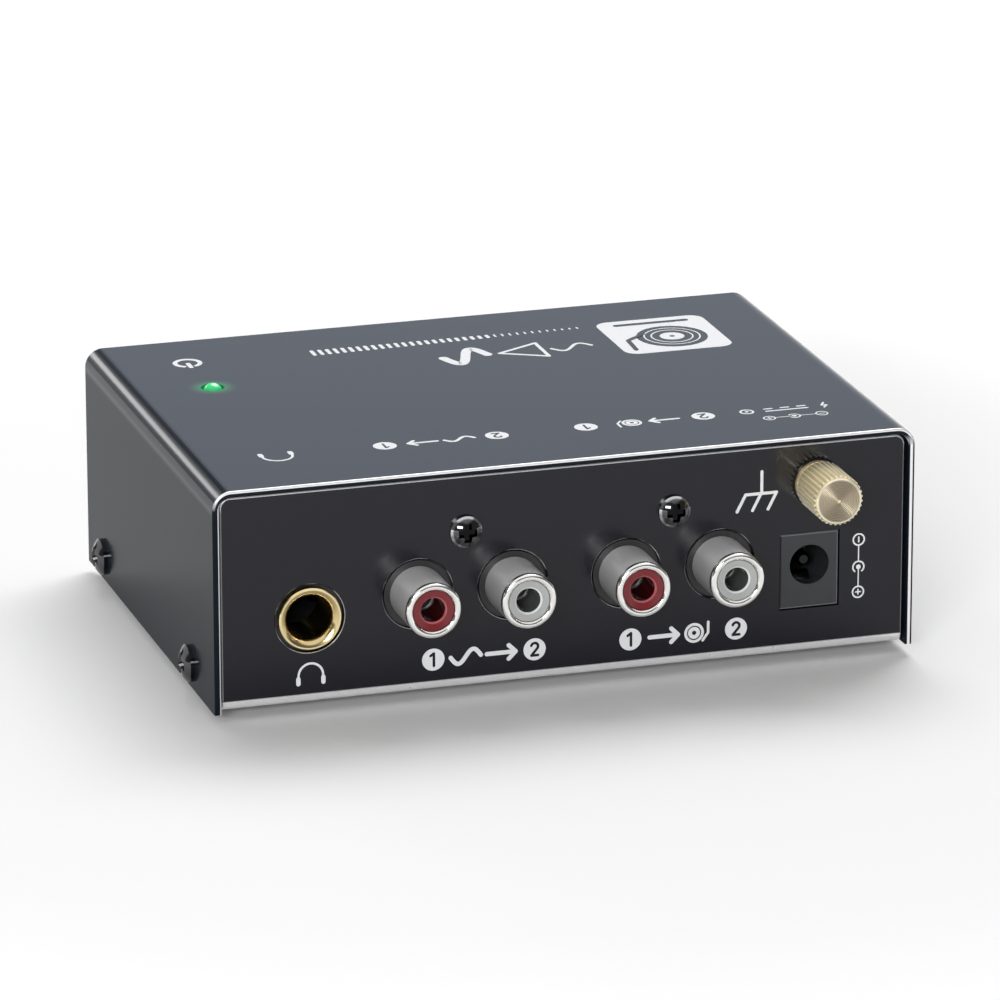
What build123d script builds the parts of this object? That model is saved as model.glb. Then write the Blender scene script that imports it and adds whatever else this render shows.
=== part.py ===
from build123d import *
from math import cos, pi, radians, sin, sqrt, tan
import os

# A phono preamplifier in a folded steel case, with all its connectors on one side.
# Millimetres. +Z is up and X runs along the connector panel, which faces -Y. The
# origin lies on the surface that the feet stand on, under the middle of the object.

os.makedirs("parts", exist_ok=True)

# The case: a folded cover over a folded tray whose front wall is the panel
case_width = 107.0
case_depth = 75.0
case_height = 33.8  # of the cover, from its lower edge
cover_sheet = 1.0
cover_bend = 2.8  # outer radius
cover_overhang = 0.1  # the cover's sides reach this far below the tray
tray_sheet = 1.0
tray_bend = 1.5
edge_round = 0.25  # cut edges under the paint
panel_recess = 1.0  # each end wall lies this far inside the cover's edge
panel_gap = 0.3  # between the tray and the cover
flange_height = 8.1
flange_inset = 4.0  # from an end wall to a side flange
hole_break = 0.12

foot_height = 1.8
foot_radius = 5.0
foot_inset = 14.0
foot_taper = 8.0  # degrees
foot_round = 0.5

# Screws
cover_screw_radius = 1.5
cover_screw_length = 5.0
cover_screw_head = 2.8
cover_screw_head_height = 1.7
cover_screw_height = 3.45  # above the tray's underside
cover_screw_front = 14.0  # from the cover's front edge
cover_screw_back = 9.5
connector_screw_radius = 1.3
connector_screw_length = 8.0
connector_screw_head = 2.4
connector_screw_head_height = 1.6
board_screw_radius = 1.5
board_screw_length = 4.6
board_screw_head = 2.8
board_screw_head_height = 1.8
screw_hole_gap = 0.2
thread_gap = 0.02
screw_tip = 0.4
head_rim = 0.35  # share of a head's height that is its straight rim
recess_reach = 0.62  # a cross recess's span over its head's diameter
recess_width = 0.26  # and its arms' width
recess_depth = 0.6  # and its depth over the head's height
recess_taper = 14.0

# The circuit board
board_side_gap = 1.7  # to the tray's flanges
board_depth = 60.0
board_thickness = 1.6
board_setback = 2.0  # behind the panel's back
standoff_height = 4.4
standoff_radius = 2.5
standoff_foot = 2.0  # radius of the foot pressed into the tray
board_screw_side = 4.0
board_screw_front = 27.0
board_screw_back = 4.0
lead_stub = 1.2  # leads stand out of the board's underside
column_count = 99  # of the grid that its parts stand on
row_count = 60
lead_hole_gap = 0.15

# Free room along the panel, behind it and from the headphone jack's side. A wider or
# narrower case shares its room out in these proportions.
jack_side_room = 4.8
jack_room = 2.1  # from the jack to the line output's housing
pair_room = 4.0  # between the two housings
power_room = 2.8
power_side_room = 9.1

# Phono sockets, in pairs
socket_pitch = 14.4
socket_axis = 8.1  # above the board
socket_nose = 8.3  # in front of the panel
shell_radius = 4.15
shell_bore = 3.1
shell_round = 0.5
neck_step = 0.25  # in from the shell's barrel
neck_length = 1.0
flange_step = 0.9  # out from its neck
shell_flange_length = 0.8
shell_tail = 3.0
collar_wall = 0.2
collar_gap = 0.3  # to the panel's hole
collar_recess = 0.3
insert_gap = 0.05
insert_recess = 0.35
insert_break = 0.25
insert_dish = 0.2
insert_lead = 0.2  # of its bore over the contact's
contact_start = 1.5  # in front of the panel
contact_radius = 2.0
contact_bore = 1.6
contact_length = 8.5
contact_pin = 0.6
tag_thickness = 0.5
tag_width = 1.2
ground_tag_width = 2.0
slot_gap = 0.1
housing_side = 6.7  # beyond the sockets' axes
housing_cap = 6.6  # above them
housing_depth = 9.5
housing_back = 1.2
boss_wall = 2.0
connector_screw_rise = 8.9  # above the socket axis

# The headphone jack
headphone_axis = 6.0  # above the board
jack_bore = 3.25
ferrule_wall = 1.15
ferrule_step = 0.3  # of its head over its thread
ferrule_rim = 0.35
ferrule_proud = 0.4
ferrule_reach = 7.0
ferrule_gap = 0.55  # to the panel's hole
mouth_depth = 1.45
jack_width = 15.0
jack_cap = 6.4  # above the bore's axis
jack_depth = 24.0
jack_gap = 0.2
cavity_gap = 0.35
cavity_end = 2.2
tip_reach = 14.6  # of its contacts' crests behind the panel's front
ring_reach = 11.6

# Contact leaves, which a plug pushes aside
headphone_press = 0.5  # how far their crests stand into the bore
power_press = 0.95
leaf_thickness = 0.35
leaf_width = 2.4
leaf_arm = 8.0  # from the hinge line to the crest
leaf_rise = 2.45  # of the hinge line over the crest
leaf_tip = 1.2
leaf_tip_rise = 1.5
leaf_bend = 0.6
leaf_side_gap = 0.3
leaf_gap = 0.1  # between a leaf and its terminal

# The power jack
power_wall = 1.45  # beside the bore
power_cap = 4.9  # above the bore's axis
power_depth = 14.0
power_setback = 0.15
power_cutout_gap = 0.15
power_bore = 3.05
power_bore_depth = 10.0
power_bore_height = 6.6  # above the board
power_pin = 1.05
power_pin_setback = 2.5
pin_step = 0.25
power_reach = 4.6  # of its contact's crest behind the panel's front

# The ground terminal
ground_offset = 1.15  # of its axis from the power jack's, towards the side
ground_drop = 6.3  # below the panel's top edge
stud_radius = 2.0
stud_reach = 7.0
stud_head = 3.5
stud_head_height = 2.4
nut_radius = 3.8
nut_length = 8.35
nut_bore_gap = 0.05
nut_cap = 1.6  # solid end
nut_chamfer = 0.5
knurl_count = 32
knurl_depth = 0.28
neck_wall = 0.65
neck_fit = 0.06
nut_lip_step = 0.25
nut_lip_start = 0.1
nut_lip_length = 0.27
end_play = 0.05
washer_step = 0.25  # in from the nut
washer_thickness = 0.8
dimple_radius = 0.3
lug_thickness = 0.8
lug_radius = 3.9
lug_tail_width = 2.4
lug_tail_length = 8.2  # from the stud's axis
lug_tail_angle = -45.0  # down towards the side of the case
barrel_wall = 0.48
barrel_length = 3.4
barrel_gap = 0.2  # to the panel
lock_washer_thickness = 0.7
lock_washer_step = 0.1  # out from the screw's head
lock_washer_teeth = 12
tooth_depth = 0.8
tooth_gap = 0.6
wire_radius = 0.5
wire_lead_out = 2.2  # straight out of the lug's barrel
wire_edge = 2.5  # from the board's side edge to where it enters the board
wire_setback = 3.0  # behind the board's front edge
wire_drop = 2.1  # straight down into the board
wire_bow_side = 1.0  # its upper bend, from where it enters the board
wire_bow_front = 1.8
wire_bow_height = 5.7

# The power light
light_inset = 13.5
light_setback = 50.0  # behind the cover's front edge
light_radius = 1.5
light_gap = 0.3
light_proud = 0.65
light_length = 5.3
light_rim = 1.9
light_rim_height = 1.0
light_lead = 0.25
light_lead_pitch = 2.54
spacer_radius = 2.4

# Parts on the board
chip_length = 9.6
chip_shoulder = 0.61  # of its legs, out from the body
chip_height = 3.4
chip_lift = 0.6
chip_pitch = 2.54
chip_row = 7.62
chip_legs = 4  # on each side
chip_edge = 0.3
chip_notch = 1.0
chip_notch_depth = 0.5
leg_width = 0.5
leg_thickness = 0.25
small_can_radius = 2.5
small_can_height = 7.0
large_can_radius = 5.0
large_can_height = 14.0
can_groove = 0.3
can_groove_height = 1.5
can_round = 0.4
small_can_pitch = 2.0
large_can_pitch = 5.0
film_width = 3.0
film_depth = 7.2
film_height = 6.5
film_round = 0.4
film_pitch = 5.0
disc_radius = 2.2
disc_thickness = 1.6
disc_lift = 1.2
disc_round = 0.5
disc_pitch = 2.5
resistor_radius = 1.15
resistor_length = 6.3
resistor_waist = 0.95
resistor_cap = 1.5  # length of its thicker ends
resistor_span = 10.2
diode_radius = 1.35
diode_length = 5.0
diode_edge = 0.2
wire_lead = 0.3
lead_bend = 0.7
choke_radius = 4.0
choke_height = 8.0
choke_core_radius = 2.0
choke_rim = 1.4
choke_winding_radius = 3.6
choke_pitch = 5.0
regulator_width = 10.0
regulator_depth = 4.4
regulator_height = 9.0
regulator_lift = 3.0
regulator_tab = 1.3
regulator_tab_height = 6.4
regulator_hole = 1.8
regulator_hole_height = 12.4  # above its lower end
regulator_pitch = 2.54
regulator_leg_width = 0.8
regulator_leg_thickness = 0.5

# Heights and the places of the panel and the cover
tray_bottom = foot_height
tray_floor = tray_bottom + tray_sheet
cover_bottom = tray_bottom - cover_overhang
cover_top = cover_bottom + case_height
panel_top = cover_top - cover_sheet - panel_gap
tray_width = case_width - 2 * (cover_sheet + panel_gap)
board_width = tray_width - 2 * (tray_sheet + board_side_gap)
nut_back = washer_thickness + end_play
nut_front = nut_back + nut_length
front_reach = nut_front - panel_recess
cover_front = front_reach - (case_depth + front_reach) / 2
cover_back = cover_front + case_depth
panel_front = cover_front + panel_recess
panel_back = panel_front + tray_sheet
far_wall = cover_back - panel_recess

board_bottom = tray_floor + standoff_height
board_top = board_bottom + board_thickness
board_front = panel_back + board_setback
board_middle = board_front + board_depth / 2
lead_bottom = board_bottom - lead_stub

socket_z = board_top + socket_axis
connector_screw_z = socket_z + connector_screw_rise
headphone_z = board_top + headphone_axis
power_z = board_top + power_bore_height
ground_z = panel_top - ground_drop
light_x = light_inset - case_width / 2
light_y = cover_front + light_setback

# Sizes that follow from what a piece holds or fits
neck_radius = shell_radius - neck_step
shell_flange = neck_radius + flange_step
collar_radius = shell_flange + insert_gap + collar_wall
insert_bore = contact_bore + insert_lead
boss_radius = connector_screw_radius + boss_wall
ferrule_thread = jack_bore + ferrule_wall
ferrule_radius = ferrule_thread + ferrule_step
jack_height = headphone_axis + jack_cap
headphone_crest = jack_bore - headphone_press
leaf_slot = leaf_width + 2 * leaf_side_gap
power_width = 2 * (power_bore + power_wall)
housing_width = socket_pitch + 2 * housing_side
power_height = power_bore_height + power_cap
power_crest = power_bore - power_press
power_pin_root = power_pin - pin_step
nut_bore = stud_radius + nut_bore_gap
nut_neck = nut_bore + neck_wall
nut_lip = nut_neck + nut_lip_step
barrel_bore = wire_radius + thread_gap
barrel_radius = barrel_bore + barrel_wall

# Places along the panel
rooms = jack_side_room + jack_room + pair_room + power_room + power_side_room
inner_width = tray_width - 2 * tray_sheet
room_step = (inner_width - jack_width - 2 * housing_width - power_width) / rooms
headphone_x = jack_side_room * room_step + (jack_width - inner_width) / 2
line_out_x = headphone_x + jack_room * room_step + (jack_width + housing_width) / 2
phono_in_x = line_out_x + pair_room * room_step + housing_width
power_x = phono_in_x + power_room * room_step + (housing_width + power_width) / 2
ground_x = power_x + ground_offset
wire_x = board_width / 2 - wire_edge

socket_pairs = {"line_out": line_out_x, "phono_in": phono_in_x}
socket_sides = {"red": -socket_pitch / 2, "white": socket_pitch / 2}
cover_screw_z = tray_bottom + cover_screw_height
cover_screw_ys = [cover_front + cover_screw_front, cover_back - cover_screw_back]
foot_spots = [
    (side * (case_width / 2 - foot_inset), y)
    for side in (-1, 1)
    for y in (cover_front + foot_inset, cover_back - foot_inset)
]
board_spots = [
    (side * (board_width / 2 - board_screw_side), y)
    for side in (-1, 1)
    for y in (
        board_front + board_screw_front,
        board_front + board_depth - board_screw_back,
    )
]

# Where the parts on the board stand: columns and rows counted from its middle
column = board_width / column_count
row = board_depth / row_count


def on_grid(spots):
    """Columns and rows as distances from the board's middle."""
    return [(x * column, y * row) for x, y in spots]


chip_spots = on_grid([(-24, -3.5), (0, -3.5), (20, -3.5)])
film_spots = on_grid([(x, -14) for x in (4, 9.5, 15, 20.5, 26)])
small_can_spots = on_grid([(x, 23.5) for x in (-30, -23, -16, -9, -2, 5)])
large_can_spots = on_grid([(16, 21.5), (28, 21.5), (38, 12)])
disc_spots = on_grid([(-33, 6), (-12, -3.5), (10, -3.5), (29, -3.5)])
resistor_spots = on_grid([(x, 10) for x in range(-25, 31, 4)])
resistor_spots += on_grid([(x - 0.5, -14) for x in range(-27, 1, 4)])
diode_spots = on_grid([(33, -9.5)])
choke_spots = on_grid([(43.5, -13)])
regulator_spots = on_grid([(38, 1.5)])


def on_board(spots):
    """Spots from the board's middle as locations on its top."""
    return Locations(*[(x, board_middle + y, board_top) for x, y in spots])


def facing(y):
    """A sketch plane at y that looks out of the panel: its x is X and its y is Z."""
    return Plane(origin=(0, y, 0), x_dir=(1, 0, 0), z_dir=(0, -1, 0))


def lathe_plane(x, z):
    """A half section through an axis that runs out of the panel at (x, z).

    Its x is the distance in front of the panel and its y is the radius.
    """
    return Plane(origin=(x, panel_front, z), x_dir=(0, -1, 0), z_dir=(-1, 0, 0))


def lathe_axis(x, z):
    return Axis((x, panel_front, z), (0, -1, 0))


def folded_sheet(width, height, wall, bend):
    """A U of bent sheet, open at the top, with the origin under its middle."""
    with BuildSketch() as section:
        Rectangle(width, height, align=(Align.CENTER, Align.MIN))
        fillet(section.vertices().group_by(Axis.Y)[0], radius=bend)
        with BuildSketch(mode=Mode.SUBTRACT) as inside:
            with Locations((0, wall)):
                Rectangle(width - 2 * wall, height, align=(Align.CENTER, Align.MIN))
            fillet(inside.vertices().group_by(Axis.Y)[0], radius=bend - wall)
    return section.sketch


def pan_screw(thread_radius, length, head_radius, head_height):
    """A cross-recessed pan-head screw whose head sits on the XY plane."""
    rim = head_rim * head_height
    with BuildPart() as screw:
        with BuildSketch(Plane.XZ):
            with BuildLine():
                Polyline(
                    (0, head_height),
                    (0, -length),
                    (thread_radius - screw_tip, -length),
                    (thread_radius, screw_tip - length),
                    (thread_radius, 0),
                    (head_radius, 0),
                    (head_radius, rim),
                )
                TangentArc((0, head_height), (head_radius, rim), tangent=(1, 0))
            make_face()
        revolve(axis=Axis.Z)
        for turn in (0, 90):
            with BuildSketch(Plane.XY.offset(head_height)):
                span = 2 * head_radius * recess_reach
                Rectangle(span, 2 * head_radius * recess_width, rotation=turn)
            extrude(amount=-recess_depth * head_height, taper=recess_taper, mode=Mode.SUBTRACT)
    return screw.part


def contact_leaf(reach, crest):
    """A bent spring leaf that lies above an axis along Y and dips towards it.

    Its crest comes as near the axis as crest, at the distance reach behind the
    panel's front. The leaf's root is leaf_arm further in.
    """
    hinge = panel_front + reach + leaf_arm
    low = crest + leaf_thickness / 2
    with BuildPart() as leaf:
        with BuildSketch(Plane.YZ):
            with BuildLine():
                FilletPolyline(
                    (hinge, low + leaf_rise),
                    (hinge - leaf_arm + leaf_tip, low + leaf_bend),
                    (hinge - leaf_arm, low),
                    (hinge - leaf_arm - leaf_tip, low + leaf_tip_rise),
                    radius=leaf_bend,
                )
            trace(line_width=leaf_thickness)
        extrude(amount=leaf_width / 2, both=True)
    return leaf.part


def wire_leads(body_length, span, height):
    """A lead out of each end of a part that lies along Y, bent down into the board."""
    with BuildPart() as leads:
        with BuildLine() as path:
            FilletPolyline(
                (0, body_length / 2, height),
                (0, span / 2, height),
                (0, span / 2, lead_bottom - board_top),
                radius=lead_bend,
            )
        with BuildSketch(Plane(path.line @ 0, z_dir=path.line % 0)):
            Circle(wire_lead)
        sweep(path=path.line)
        mirror(about=Plane.XZ)
    return leads.part


board_holes = {}  # spots by radius


def drill(spots, radius):
    board_holes.setdefault(radius, []).extend(spots)


def pin_rows(spots, pitch, count=2):
    """Where rows of pins along Y meet the board, one row about each spot."""
    steps = [pitch * (number - (count - 1) / 2) for number in range(count)]
    return [(x, board_middle + y + step) for x, y in spots for step in steps]


def board_pins(spots, radius, top):
    """Round pins that stand in the board up to a height, and their holes."""
    drill(spots, radius)
    with Locations(*[(x, y, lead_bottom) for x, y in spots]):
        Cylinder(radius, top - lead_bottom, align=(Align.CENTER, Align.CENTER, Align.MIN))


# The cover, a U turned over, with a hole for the light and four for its screws
cover_section = folded_sheet(case_width, case_height, cover_sheet, cover_bend)
with BuildPart() as top_cover:
    with BuildSketch(facing(cover_front)):
        with Locations((0, cover_top)):
            add(cover_section, rotation=180)
    extrude(amount=-case_depth)
    fillet(top_cover.faces().filter_by(Axis.Y).edges(), radius=edge_round)
    with Locations((light_x, light_y, cover_top)):
        Hole(radius=light_radius + light_gap, depth=2 * cover_sheet)
    with BuildSketch(Plane.YZ):
        with Locations(*[(y, cover_screw_z) for y in cover_screw_ys]):
            Circle(cover_screw_radius + screw_hole_gap)
    extrude(amount=case_width, both=True, mode=Mode.SUBTRACT)
top_cover.part.label = "top_cover"
export_step(top_cover.part, "parts/top_cover.step")

# The tray: front panel, bottom and far wall in one fold, and a flange up each side
tray_length = far_wall - panel_front
flange_front = panel_front + flange_inset
flange_length = tray_length - 2 * flange_inset
wall_section = folded_sheet(tray_length, panel_top - tray_bottom, tray_sheet, tray_bend)
flange_section = folded_sheet(tray_width, flange_height, tray_sheet, tray_bend)
with BuildPart() as chassis_tray:
    with BuildSketch(Plane.YZ):
        with Locations((panel_front + tray_length / 2, tray_bottom)):
            add(wall_section)
    extrude(amount=tray_width / 2, both=True)
    top_corners = chassis_tray.edges().filter_by(Axis.Y).group_by(Axis.Z)[-1]
    fillet(top_corners, radius=cover_bend - cover_sheet - panel_gap)
    end_faces = chassis_tray.faces().filter_by(Axis.Y).sort_by(Axis.Y)
    rims = end_faces[0].edges() + end_faces[-1].edges()
    above_bend = tray_bottom + 2 * tray_bend
    fillet(rims.filter_by_position(Axis.Z, above_bend, panel_top), radius=edge_round)
    with BuildSketch(facing(flange_front)):
        with Locations((0, tray_bottom)):
            Rectangle(tray_width, tray_sheet, align=(Align.CENTER, Align.MIN))
    extrude(amount=-flange_length, mode=Mode.SUBTRACT)
    with BuildSketch(facing(flange_front)):
        with Locations((0, tray_bottom)):
            add(flange_section)
    extrude(amount=-flange_length)
    with BuildSketch(Plane.YZ):
        with Locations(*[(y, cover_screw_z) for y in cover_screw_ys]):
            Circle(cover_screw_radius + thread_gap)
    extrude(amount=case_width, both=True, mode=Mode.SUBTRACT)
    with BuildSketch(Plane.XY.offset(tray_bottom)):
        with Locations(*board_spots):
            Circle(standoff_foot + thread_gap)
    extrude(amount=tray_sheet, mode=Mode.SUBTRACT)
    with BuildSketch(facing(panel_front)):
        for pair_x in socket_pairs.values():
            with Locations(*[(pair_x + side, socket_z) for side in socket_sides.values()]):
                Circle(collar_radius + collar_gap)
            with Locations((pair_x, connector_screw_z)):
                Circle(connector_screw_radius + screw_hole_gap)
        with Locations((headphone_x, headphone_z)):
            Circle(ferrule_radius + ferrule_gap)
        with Locations((power_x, board_top - power_cutout_gap)):
            cutout_width = power_width + 2 * power_cutout_gap
            cutout_height = power_height + 2 * power_cutout_gap
            Rectangle(cutout_width, cutout_height, align=(Align.CENTER, Align.MIN))
        with Locations((ground_x, ground_z)):
            Circle(stud_radius + thread_gap)
    extrude(amount=-tray_sheet, mode=Mode.SUBTRACT)
    rings = chassis_tray.edges().filter_by(GeomType.CIRCLE)
    rings = rings.filter_by_position(Axis.Y, panel_front, panel_front)
    chamfer(rings.filter_by_position(Axis.Z, tray_floor, connector_screw_z), length=hole_break)
chassis_tray.part.label = "chassis_tray"
export_step(chassis_tray.part, "parts/chassis_tray.step")

# Two screws through each side of the cover into the tray's flanges
cover_screw = pan_screw(
    cover_screw_radius, cover_screw_length, cover_screw_head, cover_screw_head_height
)
with BuildPart() as cover_screws:
    for side in (-1, 1):
        for y in cover_screw_ys:
            seat = (side * case_width / 2, y, cover_screw_z)
            with Locations(Location(seat, (0, side * 90, 0))):
                add(cover_screw)
cover_screws.part.label = "cover_screws"
export_step(cover_screws.part, "parts/cover_screws.step")

# A screw through the panel into each pair of sockets
connector_screw = pan_screw(
    connector_screw_radius,
    connector_screw_length,
    connector_screw_head,
    connector_screw_head_height,
)
with BuildPart() as connector_screws:
    for pair_x in socket_pairs.values():
        with Locations(Location((pair_x, panel_front, connector_screw_z), (90, 0, 0))):
            add(connector_screw)
connector_screws.part.label = "connector_screws"
export_step(connector_screws.part, "parts/connector_screws.step")

# Four rubber feet under the tray
with BuildPart() as rubber_feet:
    with BuildSketch(Plane.XY.offset(foot_height)):
        with Locations(*foot_spots):
            Circle(foot_radius)
    extrude(amount=-foot_height, taper=foot_taper)
    fillet(rubber_feet.edges().group_by(Axis.Z)[0], radius=foot_round)
rubber_feet.part.label = "rubber_feet"
export_step(rubber_feet.part, "parts/rubber_feet.step")

# Standoffs pressed into the tray, and the screws that hold the board on them
with BuildPart() as board_standoffs:
    with BuildSketch(Plane.XY.offset(tray_bottom)):
        with Locations(*board_spots):
            Circle(standoff_foot)
    extrude(amount=tray_sheet)
    with BuildSketch(Plane.XY.offset(tray_floor)):
        with Locations(*board_spots):
            Circle(standoff_radius)
    extrude(amount=standoff_height)
    with Locations(*[(x, y, board_bottom) for x, y in board_spots]):
        Hole(radius=board_screw_radius + thread_gap, depth=standoff_height)
board_standoffs.part.label = "board_standoffs"
export_step(board_standoffs.part, "parts/board_standoffs.step")

board_screw = pan_screw(
    board_screw_radius, board_screw_length, board_screw_head, board_screw_head_height
)
with BuildPart() as board_screws:
    with Locations(*[(x, y, board_top) for x, y in board_spots]):
        add(board_screw)
board_screws.part.label = "board_screws"
export_step(board_screws.part, "parts/board_screws.step")
drill(board_spots, board_screw_radius)

# Each pair of phono sockets: a black housing that holds two nickel shells, a coloured
# insert in each shell, a centre contact in each insert and a ground tag on each shell
lip_back = -collar_recess - neck_length
flange_back = lip_back - shell_flange_length
tail_back = flange_back - shell_tail
housing_inside = housing_back - tray_sheet - housing_depth
insert_front = socket_nose - insert_recess
contact_back = contact_start - contact_length
tail_y = panel_back + housing_depth + slot_gap + tag_thickness / 2
ground_tag_y = panel_front - tail_back + tag_thickness / 2 + slot_gap / 2
for pair, pair_x in socket_pairs.items():
    xs = {colour: pair_x + side for colour, side in socket_sides.items()}
    with BuildPart() as housing:
        with BuildSketch(facing(panel_back)):
            with Locations((pair_x, board_top)):
                block_height = socket_axis + housing_cap
                Rectangle(housing_width, block_height, align=(Align.CENTER, Align.MIN))
                boss_height = connector_screw_z - board_top
                Rectangle(2 * boss_radius, boss_height, align=(Align.CENTER, Align.MIN))
            with Locations((pair_x, connector_screw_z)):
                Circle(boss_radius)
        extrude(amount=-housing_depth)
        with BuildSketch(facing(panel_back)):
            with Locations(*[(x, socket_z) for x in xs.values()]):
                Circle(collar_radius)
        extrude(amount=tray_sheet - collar_recess)
        for x in xs.values():
            with BuildSketch(lathe_plane(x, socket_z)):
                with BuildLine():
                    Polyline(
                        (0, 0),
                        (0, neck_radius + insert_gap),
                        (lip_back, neck_radius + insert_gap),
                        (lip_back, shell_flange + insert_gap),
                        (flange_back, shell_flange + insert_gap),
                        (flange_back, neck_radius + insert_gap),
                        (housing_inside, neck_radius + insert_gap),
                        (housing_inside, 0),
                        close=True,
                    )
                make_face()
            revolve(axis=lathe_axis(x, socket_z), mode=Mode.SUBTRACT)
        with BuildSketch(facing(panel_back)):
            with Locations((pair_x, connector_screw_z)):
                Circle(connector_screw_radius + thread_gap)
        extrude(amount=-housing_depth, mode=Mode.SUBTRACT)
        with BuildSketch(facing(panel_front - housing_inside)):
            with Locations(*[(x, socket_z) for x in xs.values()]):
                Circle(contact_pin + slot_gap)
        extrude(amount=-housing_back, mode=Mode.SUBTRACT)
        with BuildSketch(Plane.XY.offset(board_top)):
            with Locations(*[(x, ground_tag_y) for x in xs.values()]):
                Rectangle(ground_tag_width + 2 * slot_gap, tag_thickness + 2 * slot_gap)
        extrude(amount=socket_axis - shell_bore, mode=Mode.SUBTRACT)
    housing.part.label = f"{pair}_housing"
    export_step(housing.part, f"parts/{pair}_housing.step")

    for colour, x in xs.items():
        with BuildPart() as shell:
            with BuildSketch(lathe_plane(x, socket_z)) as half_shell:
                with BuildLine():
                    Polyline(
                        (socket_nose, shell_bore),
                        (socket_nose, shell_radius),
                        (-collar_recess, shell_radius),
                        (-collar_recess, neck_radius),
                        (lip_back, neck_radius),
                        (lip_back, shell_flange),
                        (flange_back, shell_flange),
                        (flange_back, neck_radius),
                        (tail_back, neck_radius),
                        (tail_back, shell_bore),
                        close=True,
                    )
                make_face()
                fillet(half_shell.vertices().group_by(Axis.X)[-1], radius=shell_round)
            revolve(axis=lathe_axis(x, socket_z))
        shell.part.label = f"{pair}_{colour}_shell"
        export_step(shell.part, f"parts/{pair}_{colour}_shell.step")

        with BuildPart() as insert:
            with BuildSketch(lathe_plane(x, socket_z)):
                with BuildLine():
                    Polyline(
                        (insert_front, shell_bore - insert_gap),
                        (housing_inside, shell_bore - insert_gap),
                        (housing_inside, contact_radius + insert_gap),
                        (contact_start, contact_radius + insert_gap),
                        (contact_start, insert_bore),
                        (insert_front - insert_dish - insert_break, insert_bore),
                        (insert_front - insert_dish, insert_bore + insert_break),
                        close=True,
                    )
                make_face()
            revolve(axis=lathe_axis(x, socket_z))
        insert.part.label = f"{pair}_{colour}_insert"
        export_step(insert.part, f"parts/{pair}_{colour}_insert.step")

    with BuildPart() as contacts:
        for x in xs.values():
            with BuildSketch(lathe_plane(x, socket_z)):
                with BuildLine():
                    Polyline(
                        (contact_start, contact_bore),
                        (contact_start, contact_radius),
                        (contact_back, contact_radius),
                        (contact_back, contact_pin),
                        (panel_front - tail_y, contact_pin),
                        (panel_front - tail_y, 0),
                        (contact_back + contact_pin, 0),
                        (contact_back + contact_pin, contact_bore),
                        close=True,
                    )
                make_face()
            revolve(axis=lathe_axis(x, socket_z))
        with BuildSketch(Plane.XY.offset(lead_bottom)):
            with Locations(*[(x, tail_y) for x in xs.values()]):
                Rectangle(tag_width, tag_thickness)
        extrude(amount=socket_z + contact_pin - lead_bottom)
    contacts.part.label = f"{pair}_contacts"
    export_step(contacts.part, f"parts/{pair}_contacts.step")
    drill([(x, tail_y) for x in xs.values()], tag_width / 2)

    with BuildPart() as ground_tags:
        with BuildSketch(Plane.XY.offset(lead_bottom)):
            with Locations(*[(x, ground_tag_y) for x in xs.values()]):
                Rectangle(ground_tag_width, tag_thickness)
        extrude(amount=socket_z - shell_bore - lead_bottom)
    ground_tags.part.label = f"{pair}_ground_tags"
    export_step(ground_tags.part, f"parts/{pair}_ground_tags.step")
    drill([(x, ground_tag_y) for x in xs.values()], ground_tag_width / 2)

# The headphone jack: a gold ferrule in a black body, with two sprung contacts
jack_front = panel_back + jack_gap
jack_back = jack_front + jack_depth
ferrule_back = -tray_sheet - jack_gap - ferrule_reach
slot_floor = headphone_crest - leaf_bend
tip_hinge_y = panel_front + tip_reach + leaf_arm
ring_hinge_y = panel_front + ring_reach + leaf_arm
with BuildPart() as headphone_jack_body:
    with BuildSketch(facing(jack_front)):
        with Locations((headphone_x, board_top)):
            Rectangle(jack_width, jack_height, align=(Align.CENTER, Align.MIN))
    extrude(amount=-jack_depth)
    with BuildSketch(facing(jack_front)):
        with Locations((headphone_x, headphone_z)):
            Circle(ferrule_thread + thread_gap)
    extrude(amount=-ferrule_reach, mode=Mode.SUBTRACT)
    with BuildSketch(facing(jack_front)):
        with Locations((headphone_x, headphone_z)):
            Circle(jack_bore + cavity_gap)
    extrude(amount=cavity_end - jack_depth, mode=Mode.SUBTRACT)
    with BuildSketch(Plane.XY.offset(headphone_z + slot_floor)):
        with Locations((headphone_x, jack_back)):
            tip_slot = jack_back - panel_front - tip_reach + 2 * leaf_tip
            Rectangle(leaf_slot, tip_slot, align=(Align.CENTER, Align.MAX))
    extrude(amount=jack_height, mode=Mode.SUBTRACT)
    with BuildSketch(Plane.YZ.offset(headphone_x + slot_floor)):
        with Locations((ring_hinge_y + 2 * leaf_tip, headphone_z)):
            ring_slot = leaf_arm + 4 * leaf_tip
            Rectangle(ring_slot, leaf_slot, align=(Align.MAX, Align.CENTER))
    extrude(amount=jack_width, mode=Mode.SUBTRACT)
    with BuildSketch(Plane.XY.offset(board_top)):
        with Locations((headphone_x, panel_front - ferrule_back - 2 * tag_thickness)):
            Rectangle(tag_width + 2 * slot_gap, tag_thickness + 2 * slot_gap)
    extrude(amount=headphone_axis - ferrule_thread + slot_gap, mode=Mode.SUBTRACT)
headphone_jack_body.part.label = "headphone_jack_body"
export_step(headphone_jack_body.part, "parts/headphone_jack_body.step")

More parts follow.
